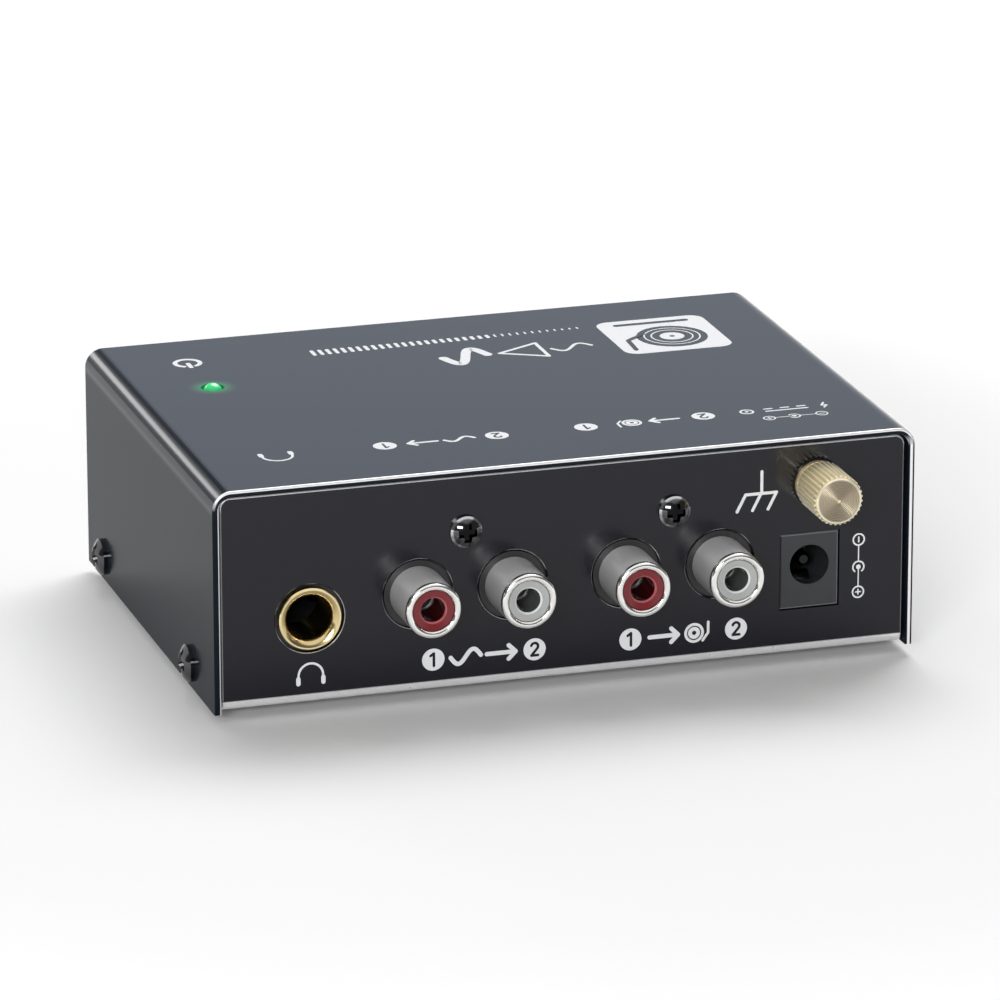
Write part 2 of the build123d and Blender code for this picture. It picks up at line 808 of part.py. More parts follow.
with BuildPart() as headphone_jack_ferrule:
    with BuildSketch(lathe_plane(headphone_x, headphone_z)):
        with BuildLine():
            mouth_end = (ferrule_proud - mouth_depth, jack_bore)
            Polyline(
                mouth_end,
                (ferrule_back, jack_bore),
                (ferrule_back, ferrule_thread),
                (-tray_sheet - jack_gap, ferrule_thread),
                (-tray_sheet - jack_gap, ferrule_radius),
                (ferrule_proud - hole_break, ferrule_radius),
                (ferrule_proud, ferrule_radius - hole_break),
                (ferrule_proud, ferrule_radius - ferrule_rim),
            )
            TangentArc(
                mouth_end, (ferrule_proud, ferrule_radius - ferrule_rim), tangent=(1, 0)
            )
        make_face()
    revolve(axis=lathe_axis(headphone_x, headphone_z))
headphone_jack_ferrule.part.label = "headphone_jack_ferrule"
export_step(headphone_jack_ferrule.part, "parts/headphone_jack_ferrule.step")

tip_leaf = contact_leaf(tip_reach, headphone_crest)
with BuildPart() as headphone_tip_spring:
    with Locations((headphone_x, 0, headphone_z)):
        add(tip_leaf)
headphone_tip_spring.part.label = "headphone_tip_spring"
export_step(headphone_tip_spring.part, "parts/headphone_tip_spring.step")

ring_leaf = contact_leaf(ring_reach, headphone_crest)
with BuildPart() as headphone_ring_spring:
    with Locations(Location((headphone_x, 0, headphone_z), (0, 90, 0))):
        add(ring_leaf)
headphone_ring_spring.part.label = "headphone_ring_spring"
export_step(headphone_ring_spring.part, "parts/headphone_ring_spring.step")

# Fixed terminals: one behind each leaf's root, and one under the ferrule
root_radius = headphone_crest + leaf_thickness / 2 + leaf_rise
tip_terminal_y = jack_back + slot_gap + leaf_thickness / 2
ring_terminal_x = headphone_x + jack_width / 2 + slot_gap + leaf_thickness / 2
ring_terminal_y = ring_hinge_y + 1.5 * leaf_tip
sleeve_terminal_y = panel_front - ferrule_back - 2 * tag_thickness
with BuildPart() as headphone_terminals:
    with BuildSketch(Plane.YZ.offset(headphone_x)):
        with BuildLine():
            Polyline(
                (tip_hinge_y + leaf_gap, headphone_z + root_radius),
                (tip_terminal_y, headphone_z + root_radius),
                (tip_terminal_y, lead_bottom),
            )
        trace(line_width=leaf_thickness)
    extrude(amount=tag_width / 2, both=True)
    with BuildSketch(Plane.XY.offset(headphone_z - tag_width / 2)):
        with BuildLine():
            Polyline(
                (headphone_x + root_radius, ring_hinge_y + leaf_gap),
                (headphone_x + root_radius, ring_terminal_y),
                (ring_terminal_x, ring_terminal_y),
            )
        trace(line_width=leaf_thickness)
    extrude(amount=tag_width)
    with BuildSketch(Plane.XY.offset(lead_bottom)):
        with Locations((ring_terminal_x, ring_terminal_y)):
            Rectangle(leaf_thickness, tag_width)
    extrude(amount=headphone_z + tag_width / 2 - lead_bottom)
    with BuildSketch(Plane.XY.offset(lead_bottom)):
        with Locations((headphone_x, sleeve_terminal_y)):
            Rectangle(tag_width, tag_thickness)
    extrude(amount=headphone_z - ferrule_thread - lead_bottom)
headphone_terminals.part.label = "headphone_terminals"
export_step(headphone_terminals.part, "parts/headphone_terminals.step")
drill([(headphone_x, tip_terminal_y), (ring_terminal_x, ring_terminal_y)], tag_width / 2)
drill([(headphone_x, sleeve_terminal_y)], tag_width / 2)

# The power jack: a block with a round bore, a centre pin and a sprung contact under it
power_front = panel_front + power_setback
power_back = power_front + power_depth
power_floor = -power_setback - power_bore_depth
power_hinge_y = panel_front + power_reach + leaf_arm
power_root_z = power_z - power_crest - leaf_thickness / 2 - leaf_rise
power_slot_z = power_root_z - leaf_thickness
spring_tail_y = power_hinge_y + leaf_gap + leaf_thickness / 2
with BuildPart() as power_jack_body:
    with BuildSketch(facing(power_front)):
        with Locations((power_x, board_top)):
            Rectangle(power_width, power_height, align=(Align.CENTER, Align.MIN))
    extrude(amount=-power_depth)
    face_edges = power_jack_body.faces().sort_by(Axis.Y)[0].edges()
    chamfer(face_edges, length=hole_break)
    with BuildSketch(facing(power_front)):
        with Locations((power_x, power_z)):
            Circle(power_bore)
    extrude(amount=-power_bore_depth, mode=Mode.SUBTRACT)
    with BuildSketch(facing(power_front)):
        with Locations((power_x, power_z)):
            Circle(power_pin_root + thread_gap)
    extrude(amount=-power_depth, mode=Mode.SUBTRACT)
    with BuildSketch(Plane.XY.offset(power_slot_z)):
        with Locations((power_x, power_back)):
            slot_length = power_back - panel_front - power_reach + 2 * leaf_tip
            Rectangle(leaf_slot, slot_length, align=(Align.CENTER, Align.MAX))
    extrude(amount=power_z - power_crest + leaf_bend - power_slot_z, mode=Mode.SUBTRACT)
    with BuildSketch(Plane.XY.offset(board_top)):
        with Locations((power_x, spring_tail_y)):
            Rectangle(tag_width + 2 * slot_gap, leaf_thickness + 2 * slot_gap)
    extrude(amount=power_slot_z - board_top, mode=Mode.SUBTRACT)
power_jack_body.part.label = "power_jack_body"
export_step(power_jack_body.part, "parts/power_jack_body.step")

pin_tip = -power_setback - power_pin_setback
pin_tail_y = power_back + slot_gap + tag_thickness / 2
with BuildPart() as power_jack_pin:
    with BuildSketch(lathe_plane(power_x, power_z)):
        with BuildLine():
            Polyline(
                (pin_tip, 0),
                (pin_tip, power_pin - screw_tip),
                (pin_tip - screw_tip, power_pin),
                (power_floor, power_pin),
                (power_floor, power_pin_root),
                (panel_front - pin_tail_y, power_pin_root),
                (panel_front - pin_tail_y, 0),
                close=True,
            )
        make_face()
    revolve(axis=lathe_axis(power_x, power_z))
    with BuildSketch(Plane.XY.offset(lead_bottom)):
        with Locations((power_x, pin_tail_y)):
            Rectangle(tag_width, tag_thickness)
    extrude(amount=power_z + power_pin_root - lead_bottom)
power_jack_pin.part.label = "power_jack_pin"
export_step(power_jack_pin.part, "parts/power_jack_pin.step")
drill([(power_x, pin_tail_y)], tag_width / 2)

power_leaf = contact_leaf(power_reach, power_crest)
with BuildPart() as power_jack_spring:
    with Locations(Location((power_x, 0, power_z), (0, 180, 0))):
        add(power_leaf)
power_jack_spring.part.label = "power_jack_spring"
export_step(power_jack_spring.part, "parts/power_jack_spring.step")

with BuildPart() as power_spring_terminal:
    with BuildSketch(Plane.XY.offset(lead_bottom)):
        with Locations((power_x, spring_tail_y)):
            Rectangle(tag_width, leaf_thickness)
    extrude(amount=power_root_z + leaf_thickness / 2 - lead_bottom)
power_spring_terminal.part.label = "power_spring_terminal"
export_step(power_spring_terminal.part, "parts/power_spring_terminal.step")
drill([(power_x, spring_tail_y)], tag_width / 2)

# The ground terminal. A screw from inside holds a lug and a lock washer under its head,
# and a knurled thumb nut with a captive washer runs on the stud outside the panel.
stud_seat = panel_back + lug_thickness + lock_washer_thickness
ground_screw = pan_screw(
    stud_radius, stud_seat - panel_front + stud_reach, stud_head, stud_head_height
)
with BuildPart() as ground_stud:
    with Locations(Location((ground_x, stud_seat, ground_z), (-90, 0, 0))):
        add(ground_screw)
ground_stud.part.label = "ground_stud"
export_step(ground_stud.part, "parts/ground_stud.step")

lip_front = nut_lip_start + nut_lip_length
bore_end = nut_front - nut_cap
with BuildPart() as ground_thumb_nut:
    with BuildSketch(lathe_plane(ground_x, ground_z)):
        with BuildLine():
            Polyline(
                (nut_lip_start, nut_bore),
                (nut_lip_start, nut_lip),
                (lip_front, nut_lip),
                (lip_front, nut_neck),
                (nut_back, nut_neck),
                (nut_back, nut_radius - nut_chamfer),
                (nut_back + nut_chamfer, nut_radius),
                (nut_front - nut_chamfer, nut_radius),
                (nut_front, nut_radius - nut_chamfer),
                (nut_front, dimple_radius),
                (nut_front - dimple_radius, 0),
                (bore_end, 0),
                (bore_end, nut_bore),
                close=True,
            )
        make_face()
    revolve(axis=lathe_axis(ground_x, ground_z))
    with BuildSketch(facing(panel_front - nut_front)):
        with Locations((ground_x, ground_z)):
            with PolarLocations(nut_radius, knurl_count):
                Circle(knurl_depth)
    extrude(amount=-nut_length, mode=Mode.SUBTRACT)
ground_thumb_nut.part.label = "ground_thumb_nut"
export_step(ground_thumb_nut.part, "parts/ground_thumb_nut.step")

washer_radius = nut_radius - washer_step
washer_recess = lip_front + end_play
with BuildPart() as ground_washer:
    with BuildSketch(lathe_plane(ground_x, ground_z)):
        with BuildLine():
            Polyline(
                (0, nut_lip + neck_fit),
                (0, washer_radius),
                (washer_thickness - hole_break, washer_radius),
                (washer_thickness, washer_radius - hole_break),
                (washer_thickness, nut_neck + neck_fit),
                (washer_recess, nut_neck + neck_fit),
                (washer_recess, nut_lip + neck_fit),
                close=True,
            )
        make_face()
    revolve(axis=lathe_axis(ground_x, ground_z))
ground_washer.part.label = "ground_washer"
export_step(ground_washer.part, "parts/ground_washer.step")

lock_washer_radius = stud_head + lock_washer_step
with BuildPart() as ground_lock_washer:
    with BuildSketch(facing(panel_back + lug_thickness)):
        with Locations((ground_x, ground_z)):
            Circle(lock_washer_radius)
            Circle(stud_radius + screw_hole_gap, mode=Mode.SUBTRACT)
            with PolarLocations(lock_washer_radius, lock_washer_teeth):
                Rectangle(2 * tooth_depth, tooth_gap, mode=Mode.SUBTRACT)
    extrude(amount=-lock_washer_thickness)
ground_lock_washer.part.label = "ground_lock_washer"
export_step(ground_lock_washer.part, "parts/ground_lock_washer.step")

tail_angle = radians(lug_tail_angle)
tail_direction = Vector(cos(tail_angle), 0, sin(tail_angle))
lug_plane = Plane((ground_x, panel_back, ground_z), x_dir=tail_direction, z_dir=(0, -1, 0))
barrel_axis = Vector(ground_x, panel_back + barrel_gap + barrel_radius, ground_z)
barrel_start = lug_tail_length - lug_thickness
barrel_end = barrel_start + barrel_length
barrel_plane = Plane(barrel_axis + tail_direction * barrel_start, z_dir=tail_direction)
with BuildPart() as ground_lug:
    with BuildSketch(lug_plane):
        Circle(lug_radius)
        Rectangle(lug_tail_length, lug_tail_width, align=(Align.MIN, Align.CENTER))
        Circle(stud_radius + screw_hole_gap, mode=Mode.SUBTRACT)
    extrude(amount=-lug_thickness)
    with BuildSketch(barrel_plane):
        Circle(barrel_radius)
    extrude(amount=barrel_length)
    with BuildSketch(barrel_plane):
        Circle(barrel_bore)
    extrude(amount=barrel_length, mode=Mode.SUBTRACT)
ground_lug.part.label = "ground_lug"
export_step(ground_lug.part, "parts/ground_lug.step")

# The ground wire, from the lug's barrel down into the board
wire_y = board_front + wire_setback
wire_points = [
    barrel_axis + tail_direction * (barrel_start + barrel_end) / 2,
    barrel_axis + tail_direction * (barrel_end + wire_lead_out),
    Vector(wire_x + wire_bow_side, wire_y - wire_bow_front, board_top + wire_bow_height),
    Vector(wire_x, wire_y, board_top + wire_drop),
    Vector(wire_x, wire_y, board_bottom),
]
wire_runs = [after - before for before, after in zip(wire_points, wire_points[1:])]
wire_bends = [
    0.45 * min(one.length, two.length) / tan(radians(one.get_angle(two)) / 2)
    for one, two in zip(wire_runs, wire_runs[1:])
]
with BuildPart() as ground_wire:
    with BuildLine() as wire_path:
        FilletPolyline(*wire_points, radius=wire_bends)
    with BuildSketch(Plane(wire_points[0], z_dir=tail_direction)):
        Circle(wire_radius)
    sweep(path=wire_path.line)
ground_wire.part.label = "ground_wire"
export_step(ground_wire.part, "parts/ground_wire.step")
drill([(wire_x, wire_y)], wire_radius)
wire_length = wire_path.wire().length
print("ground wire length", round(wire_length, 2), "bends", [round(r, 2) for r in wire_bends])
print("its volume over section times length",
      ground_wire.part.volume / (pi * wire_radius**2 * wire_length))

# The power light on its spacer, with its dome through the cover
light_top = cover_top + light_proud
light_bottom = light_top - light_length
with BuildPart() as power_light:
    with BuildSketch(Plane((light_x, light_y, 0), x_dir=(1, 0, 0), z_dir=(0, -1, 0))):
        with BuildLine():
            Polyline(
                (0, light_top),
                (0, light_bottom),
                (light_rim, light_bottom),
                (light_rim, light_bottom + light_rim_height),
                (light_radius, light_bottom + light_rim_height),
                (light_radius, light_top - light_radius),
            )
            RadiusArc((light_radius, light_top - light_radius), (0, light_top), -light_radius)
        make_face()
    revolve(axis=Axis((light_x, light_y, 0), (0, 0, 1)))
power_light.part.label = "power_light"
export_step(power_light.part, "parts/power_light.step")

light_lead_spots = [(light_x + side * light_lead_pitch / 2, light_y) for side in (-1, 1)]
with BuildPart() as power_light_leads:
    board_pins(light_lead_spots, light_lead, light_bottom)
power_light_leads.part.label = "power_light_leads"
export_step(power_light_leads.part, "parts/power_light_leads.step")

with BuildPart() as power_light_spacer:
    with BuildSketch(Plane.XY.offset(board_top)):
        with Locations((light_x, light_y)):
            Circle(spacer_radius)
        with Locations(*light_lead_spots):
            Circle(light_lead + slot_gap, mode=Mode.SUBTRACT)
    extrude(amount=light_bottom - board_top)
power_light_spacer.part.label = "power_light_spacer"
export_step(power_light_spacer.part, "parts/power_light_spacer.step")

# Amplifier chips, each on two rows of bent legs
chip_width = chip_row - 2 * chip_shoulder
with BuildPart() as chip:
    with BuildSketch(Plane.XY.offset(chip_lift)):
        Rectangle(chip_length, chip_width)
    extrude(amount=chip_height)
    chamfer(chip.faces().sort_by(Axis.Z)[-1].edges(), length=chip_edge)
    with Locations((-chip_length / 2, 0, chip_lift + chip_height)):
        Hole(radius=chip_notch, depth=chip_notch_depth)
with BuildPart() as op_amps:
    with on_board(chip_spots):
        add(chip.part)
op_amps.part.label = "op_amps"
export_step(op_amps.part, "parts/op_amps.step")

with BuildPart() as leg:
    with BuildSketch(Plane.YZ):
        with BuildLine():
            shoulder = chip_lift + chip_height / 2
            Polyline(
                (chip_width / 2, shoulder),
                (chip_row / 2, shoulder),
                (chip_row / 2, lead_bottom - board_top),
            )
        trace(line_width=leg_thickness)
    extrude(amount=leg_width / 2, both=True)
    add(leg.part, rotation=(0, 0, 180))
with BuildPart() as op_amp_legs:
    with on_board(chip_spots):
        with GridLocations(chip_pitch, 0, chip_legs, 1):
            add(leg.part)
op_amp_legs.part.label = "op_amp_legs"
export_step(op_amp_legs.part, "parts/op_amp_legs.step")
for row in (-chip_row / 2, chip_row / 2):
    row_spots = [(x + chip_pitch * (step - (chip_legs - 1) / 2), board_middle + y + row)
                 for x, y in chip_spots for step in range(chip_legs)]
    drill(row_spots, leg_width / 2)

# Capacitors: film boxes, small and large cans, and ceramic discs
with BuildPart() as film_capacitors:
    with on_board(film_spots):
        Box(film_width, film_depth, film_height, align=(Align.CENTER, Align.CENTER, Align.MIN))
    uprights = film_capacitors.edges().filter_by(Axis.Z)
    tops = film_capacitors.edges().group_by(Axis.Z)[-1]
    fillet(uprights + tops, radius=film_round)
film_capacitors.part.label = "film_capacitors"
export_step(film_capacitors.part, "parts/film_capacitors.step")


def can(radius, height):
    """An electrolytic capacitor's can, with the groove that holds its seal."""
    with BuildPart() as body:
        Cylinder(radius, height, align=(Align.CENTER, Align.CENTER, Align.MIN))
        fillet(body.edges().group_by(Axis.Z)[-1], radius=can_round)
        with Locations((0, 0, can_groove_height)):
            Torus(radius, can_groove, mode=Mode.SUBTRACT)
    return body.part


small_can = can(small_can_radius, small_can_height)
with BuildPart() as small_capacitors:
    with on_board(small_can_spots):
        add(small_can)
small_capacitors.part.label = "small_capacitors"
export_step(small_capacitors.part, "parts/small_capacitors.step")

large_can = can(large_can_radius, large_can_height)
with BuildPart() as large_capacitors:
    with on_board(large_can_spots):
        add(large_can)
large_capacitors.part.label = "large_capacitors"
export_step(large_capacitors.part, "parts/large_capacitors.step")

with BuildPart() as disc:
    Cylinder(disc_radius, disc_thickness, rotation=(0, 90, 0))
    fillet(disc.edges().filter_by(GeomType.CIRCLE), radius=disc_round)
with BuildPart() as ceramic_capacitors:
    with on_board(disc_spots):
        with Locations((0, 0, disc_lift + disc_radius)):
            add(disc.part)
ceramic_capacitors.part.label = "ceramic_capacitors"
export_step(ceramic_capacitors.part, "parts/ceramic_capacitors.step")

pin_inside = disc_pitch / 2 - wire_lead
disc_pin_top = board_top + disc_lift + disc_radius - sqrt(disc_radius**2 - pin_inside**2)
with BuildPart() as capacitor_leads:
    board_pins(pin_rows(film_spots, film_pitch), wire_lead, board_top)
    board_pins(pin_rows(small_can_spots, small_can_pitch), wire_lead, board_top)
    board_pins(pin_rows(large_can_spots, large_can_pitch), wire_lead, board_top)
    board_pins(pin_rows(disc_spots, disc_pitch), wire_lead, disc_pin_top)
capacitor_leads.part.label = "capacitor_leads"
export_step(capacitor_leads.part, "parts/capacitor_leads.step")

# Resistors and a rectifier diode, lying on the board
with BuildPart() as resistor:
    with BuildSketch():
        with BuildLine():
            Polyline(
                (0, resistor_length / 2),
                (resistor_waist, resistor_length / 2),
                (resistor_radius, resistor_length / 2 - resistor_radius + resistor_waist),
                (resistor_radius, resistor_length / 2 - resistor_cap),
                (resistor_waist, resistor_length / 2 - resistor_cap),
                (resistor_waist, 0),
                (0, 0),
                close=True,
            )
        make_face()
    revolve(axis=Axis.Y)
    mirror(about=Plane.XZ)
with BuildPart() as resistors:
    with on_board(resistor_spots):
        with Locations((0, 0, resistor_radius)):
            add(resistor.part)
resistors.part.label = "resistors"
export_step(resistors.part, "parts/resistors.step")

resistor_lead = wire_leads(resistor_length, resistor_span, resistor_radius)
with BuildPart() as resistor_leads:
    with on_board(resistor_spots):
        add(resistor_lead)
resistor_leads.part.label = "resistor_leads"
export_step(resistor_leads.part, "parts/resistor_leads.step")
drill(pin_rows(resistor_spots, resistor_span), wire_lead)

with BuildPart() as diode:
    with on_board(diode_spots):
        with Locations((0, 0, diode_radius)):
            Cylinder(diode_radius, diode_length, rotation=(90, 0, 0))
    chamfer(diode.edges().filter_by(GeomType.CIRCLE), length=diode_edge)
diode.part.label = "diode"
export_step(diode.part, "parts/diode.step")

diode_lead = wire_leads(diode_length, resistor_span, diode_radius)
with BuildPart() as diode_leads:
    with on_board(diode_spots):
        add(diode_lead)
diode_leads.part.label = "diode_leads"
export_step(diode_leads.part, "parts/diode_leads.step")
drill(pin_rows(diode_spots, resistor_span), wire_lead)

# The supply's filter choke, wound on a drum, and its regulator
with BuildPart() as choke_core:
    with on_board(choke_spots):
        Cylinder(choke_radius, choke_height, align=(Align.CENTER, Align.CENTER, Align.MIN))
    with BuildSketch(Plane.XY.offset(board_top + choke_rim)):
        with Locations(*[(x, board_middle + y) for x, y in choke_spots]):
            Circle(choke_radius)
            Circle(choke_core_radius, mode=Mode.SUBTRACT)
    extrude(amount=choke_height - 2 * choke_rim, mode=Mode.SUBTRACT)
choke_core.part.label = "choke_core"
export_step(choke_core.part, "parts/choke_core.step")

with BuildPart() as choke_winding:
    with BuildSketch(Plane.XY.offset(board_top + choke_rim)):
        with Locations(*[(x, board_middle + y) for x, y in choke_spots]):
            Circle(choke_winding_radius)
            Circle(choke_core_radius, mode=Mode.SUBTRACT)
    extrude(amount=choke_height - 2 * choke_rim)
choke_winding.part.label = "choke_winding"
export_step(choke_winding.part, "parts/choke_winding.step")

with BuildPart() as choke_leads:
    board_pins(pin_rows(choke_spots, choke_pitch), wire_lead, board_top)
choke_leads.part.label = "choke_leads"
export_step(choke_leads.part, "parts/choke_leads.step")

regulator_bottom = board_top + regulator_lift
tab_y = [(x, board_middle + y + regulator_depth / 2) for x, y in regulator_spots]
with BuildPart() as voltage_regulator:
    with BuildSketch(Plane.XY.offset(regulator_bottom)):
        with Locations(*[(x, y - regulator_tab) for x, y in tab_y]):
            body_depth = regulator_depth - regulator_tab
            Rectangle(regulator_width, body_depth, align=(Align.CENTER, Align.MAX))
    extrude(amount=regulator_height)
    front_edges = voltage_regulator.faces().sort_by(Axis.Y)[0].edges()
    chamfer(front_edges, length=chip_edge)
voltage_regulator.part.label = "voltage_regulator"
export_step(voltage_regulator.part, "parts/voltage_regulator.step")

with BuildPart() as regulator_tab_plate:
    with BuildSketch(Plane.XY.offset(regulator_bottom)):
        with Locations(*tab_y):
            Rectangle(regulator_width, regulator_tab, align=(Align.CENTER, Align.MAX))
    extrude(amount=regulator_height + regulator_tab_height)
    for x, y in tab_y:
        with BuildSketch(facing(y)):
            with Locations((x, regulator_bottom + regulator_hole_height)):
                Circle(regulator_hole)
        extrude(amount=regulator_tab, mode=Mode.SUBTRACT)
regulator_tab_plate.part.label = "regulator_tab"
export_step(regulator_tab_plate.part, "parts/regulator_tab.step")

leg_spots = [
    (x + regulator_pitch * step, board_middle + y)
    for x, y in regulator_spots
    for step in (-1, 0, 1)
]
with BuildPart() as regulator_legs:
    with BuildSketch(Plane.XY.offset(lead_bottom)):
        with Locations(*leg_spots):
            Rectangle(regulator_leg_width, regulator_leg_thickness)
    extrude(amount=regulator_bottom - lead_bottom)
regulator_legs.part.label = "regulator_legs"
export_step(regulator_legs.part, "parts/regulator_legs.step")
drill(leg_spots, regulator_leg_width / 2)

# The board itself, with a hole for every lead and screw
with BuildPart() as circuit_board:
    with BuildSketch(Plane.XY.offset(board_bottom)):
        with Locations((0, board_front)):
            Rectangle(board_width, board_depth, align=(Align.CENTER, Align.MIN))
        for radius, spots in board_holes.items():
            with Locations(*spots):
                Circle(radius + lead_hole_gap, mode=Mode.SUBTRACT)
    extrude(amount=board_thickness)
circuit_board.part.label = "circuit_board"
export_step(circuit_board.part, "parts/circuit_board.step")
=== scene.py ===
from math import pi, radians

import bpy
import numpy as np
from mathutils import Matrix, Vector

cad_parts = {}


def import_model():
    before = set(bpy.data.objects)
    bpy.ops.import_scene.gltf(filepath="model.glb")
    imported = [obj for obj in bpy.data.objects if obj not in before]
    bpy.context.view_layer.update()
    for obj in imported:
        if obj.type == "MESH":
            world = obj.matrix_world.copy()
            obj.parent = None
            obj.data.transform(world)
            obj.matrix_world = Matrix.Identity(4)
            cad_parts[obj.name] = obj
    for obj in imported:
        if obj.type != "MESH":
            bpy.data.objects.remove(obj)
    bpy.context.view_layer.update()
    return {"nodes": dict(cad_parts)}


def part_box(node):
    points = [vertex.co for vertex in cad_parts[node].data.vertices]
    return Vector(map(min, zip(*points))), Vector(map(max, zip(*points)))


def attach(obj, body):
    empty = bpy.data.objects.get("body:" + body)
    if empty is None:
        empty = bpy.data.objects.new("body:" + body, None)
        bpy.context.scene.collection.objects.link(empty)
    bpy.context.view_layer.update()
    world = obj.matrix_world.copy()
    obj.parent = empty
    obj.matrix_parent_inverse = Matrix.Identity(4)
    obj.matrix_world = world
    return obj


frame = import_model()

nodes = frame["nodes"]
mm = 0.001
print("model loaded:", len(nodes), "nodes")


# Camera: low and from the front left
view = dict(spot=(-0.2988, -0.9637, 0.3455), turn=-17.22, tilt=17.93, roll=-0.05, lens=254.7,
            sensor=36, near=0.05, far=50)

camera = bpy.data.objects.new("camera", bpy.data.cameras.new("camera"))
bpy.context.scene.collection.objects.link(camera)
camera.data.lens = view["lens"]
camera.data.sensor_width = view["sensor"]
camera.data.clip_start = view["near"]
camera.data.clip_end = view["far"]
turned = Matrix.Rotation(radians(view["turn"]), 4, "Z")
tilted = Matrix.Rotation(radians(90 - view["tilt"]), 4, "X")
rolled = Matrix.Rotation(radians(view["roll"]), 4, "Z")
camera.matrix_world = Matrix.Translation(view["spot"]) @ turned @ tilted @ rolled
bpy.context.scene.camera = camera
bpy.context.scene.view_settings.view_transform = "Standard"
print("camera placed")


# One output of a shader node. Sums on it add Math nodes.
class Link:
    def __init__(self, web, socket):
        self.web = web
        self.socket = socket

    def math(self, operation, *others, clamp=False):
        values = dict(enumerate((self, *others)))
        return self.web.node("ShaderNodeMath", dict(operation=operation, use_clamp=clamp), values)

    def __add__(self, other):
        return self.math("ADD", other)

    def __radd__(self, other):
        return self.math("ADD", other)

    def __sub__(self, other):
        return self.math("SUBTRACT", other)

    def __rsub__(self, other):
        return self.web.node("ShaderNodeMath", dict(operation="SUBTRACT"), {0: other, 1: self})

    def __mul__(self, other):
        return self.math("MULTIPLY", other)

    def __rmul__(self, other):
        return self.math("MULTIPLY", other)

    def __truediv__(self, other):
        return self.math("DIVIDE", other)

    def size(self):
        return self.math("ABSOLUTE")

    def atLeast(self, other):
        return self.math("MAXIMUM", other)

    def rise(self, low, high):  # 0 up to low, 1 from high on, and straight between them
        return ((self - low) * (1 / (high - low))).math("ADD", 0, clamp=True)

    def between(self, low, high, soft):  # 1 from low to high, with soft edges outside them
        return self.rise(low - soft, low) * (1 - self.rise(high, high + soft))


# A node tree and the one way that nodes are added to it
class Web:
    def __init__(self, tree):
        self.tree = tree
        tree.nodes.clear()

    def node(self, kind, settings=None, values=None, output=0):
        made = self.tree.nodes.new(kind)
        for name, value in (settings or {}).items():
            setattr(made, name, value)
        for name, value in (values or {}).items():
            self.plug(value, made.inputs[name])
        return Link(self, made.outputs[output]) if made.outputs else None

    def plug(self, value, socket):
        if isinstance(value, Link):
            self.tree.links.new(value.socket, socket)
        elif hasattr(socket.default_value, "__len__") and len(value) == 3:
            socket.default_value = (*value, 1)[: len(socket.default_value)]
        else:
            socket.default_value = value

    def other(self, link, name):  # another output of the node that a link comes from
        return Link(self, link.socket.node.outputs[name])

    def mix(self, factor, first, second):  # a colour between two colours
        return self.node("ShaderNodeMix", dict(data_type="RGBA"), {0: factor, 6: first, 7: second}, 2)

    def grey(self, level):
        return self.node("ShaderNodeCombineColor", None, {0: level, 1: level, 2: level})

    def seenInGloss(self):  # 1 for rays that a glossy surface sends on
        return self.other(self.node("ShaderNodeLightPath"), "Is Glossy Ray")

    def seenDirectly(self):  # 1 for rays from the camera, and those that metal and glass send on
        path = self.node("ShaderNodeLightPath")
        glossy = self.other(path, "Is Glossy Ray")
        return path.atLeast(glossy).atLeast(self.other(path, "Is Transmission Ray"))


# A material with one Principled shader. Fixed values go on the shader's own sockets, and
# places are in millimetres.
class Finish(Web):
    def __init__(self, name, **fixed):
        self.material = bpy.data.materials.new(name)
        self.material.use_nodes = True
        super().__init__(self.material.node_tree)
        self.shader = self.node("ShaderNodeBsdfPrincipled").socket.node
        self.node("ShaderNodeOutputMaterial", None, {"Surface": Link(self, self.shader.outputs[0])})
        self.set(**fixed)
        place = self.node("ShaderNodeTexCoord", output=3)
        self.at = self.node("ShaderNodeVectorMath", dict(operation="SCALE"), {0: place, "Scale": 1000})
        self.x = self.node("ShaderNodeSeparateXYZ", None, {0: self.at})
        self.y = self.other(self.x, "Y")
        self.z = self.other(self.x, "Z")

    def set(self, **values):
        for name, value in values.items():
            self.plug(value, self.shader.inputs[name.replace("_", " ")])
        return self

    def noise(self, scale, detail=2.0):  # clouds from 0 to 1, with so many lumps in a millimetre
        return self.node("ShaderNodeTexNoise", None, {"Vector": self.at, "Scale": scale, "Detail": detail})

    def bump(self, height, strength=0.3, distance=0.02):  # relief, its distance in millimetres
        values = {"Height": height, "Strength": strength, "Distance": distance * mm}
        return self.set(Normal=self.node("ShaderNodeBump", None, values))

    def spread(self, one, other):  # a distance from two offsets at right angles
        return (one * one + other * other).math("SQRT")

    def fromY(self, middle):  # the distance from a line along Y through a point
        return self.spread(self.x - middle.x, self.z - middle.z)

    def fromPair(self, first, second):  # the same for the nearer of two such lines at one height
        aside = (self.x - (first.x + second.x) / 2).size() - (second.x - first.x) / 2
        return self.spread(aside, self.z - first.z)

    def fromZ(self, x, y):  # the distance from a line along Z
        return self.spread(self.x - x, self.y - y)


# Gives CAD nodes a finish in all their slots
def dress(finish, *names):
    for name in names:
        slots = nodes[name].data.materials
        for index in range(len(slots)):
            slots[index] = finish.material


# A node's box in millimetres
def box(name):
    low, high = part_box(name)
    return Vector(low) / mm, Vector(high) / mm


def middleOf(name):
    low, high = box(name)
    return (low + high) / 2


# The floor, and a white surrounding that only the camera and reflections see
floorLook = dict(reach=6.0, colour=(0.95, 0.95, 0.95), roughness=0.5, shine=0.0, near=0.03, far=0.7,
                 fades=(130, 700))  # its glow near and far, and from where to where it rises

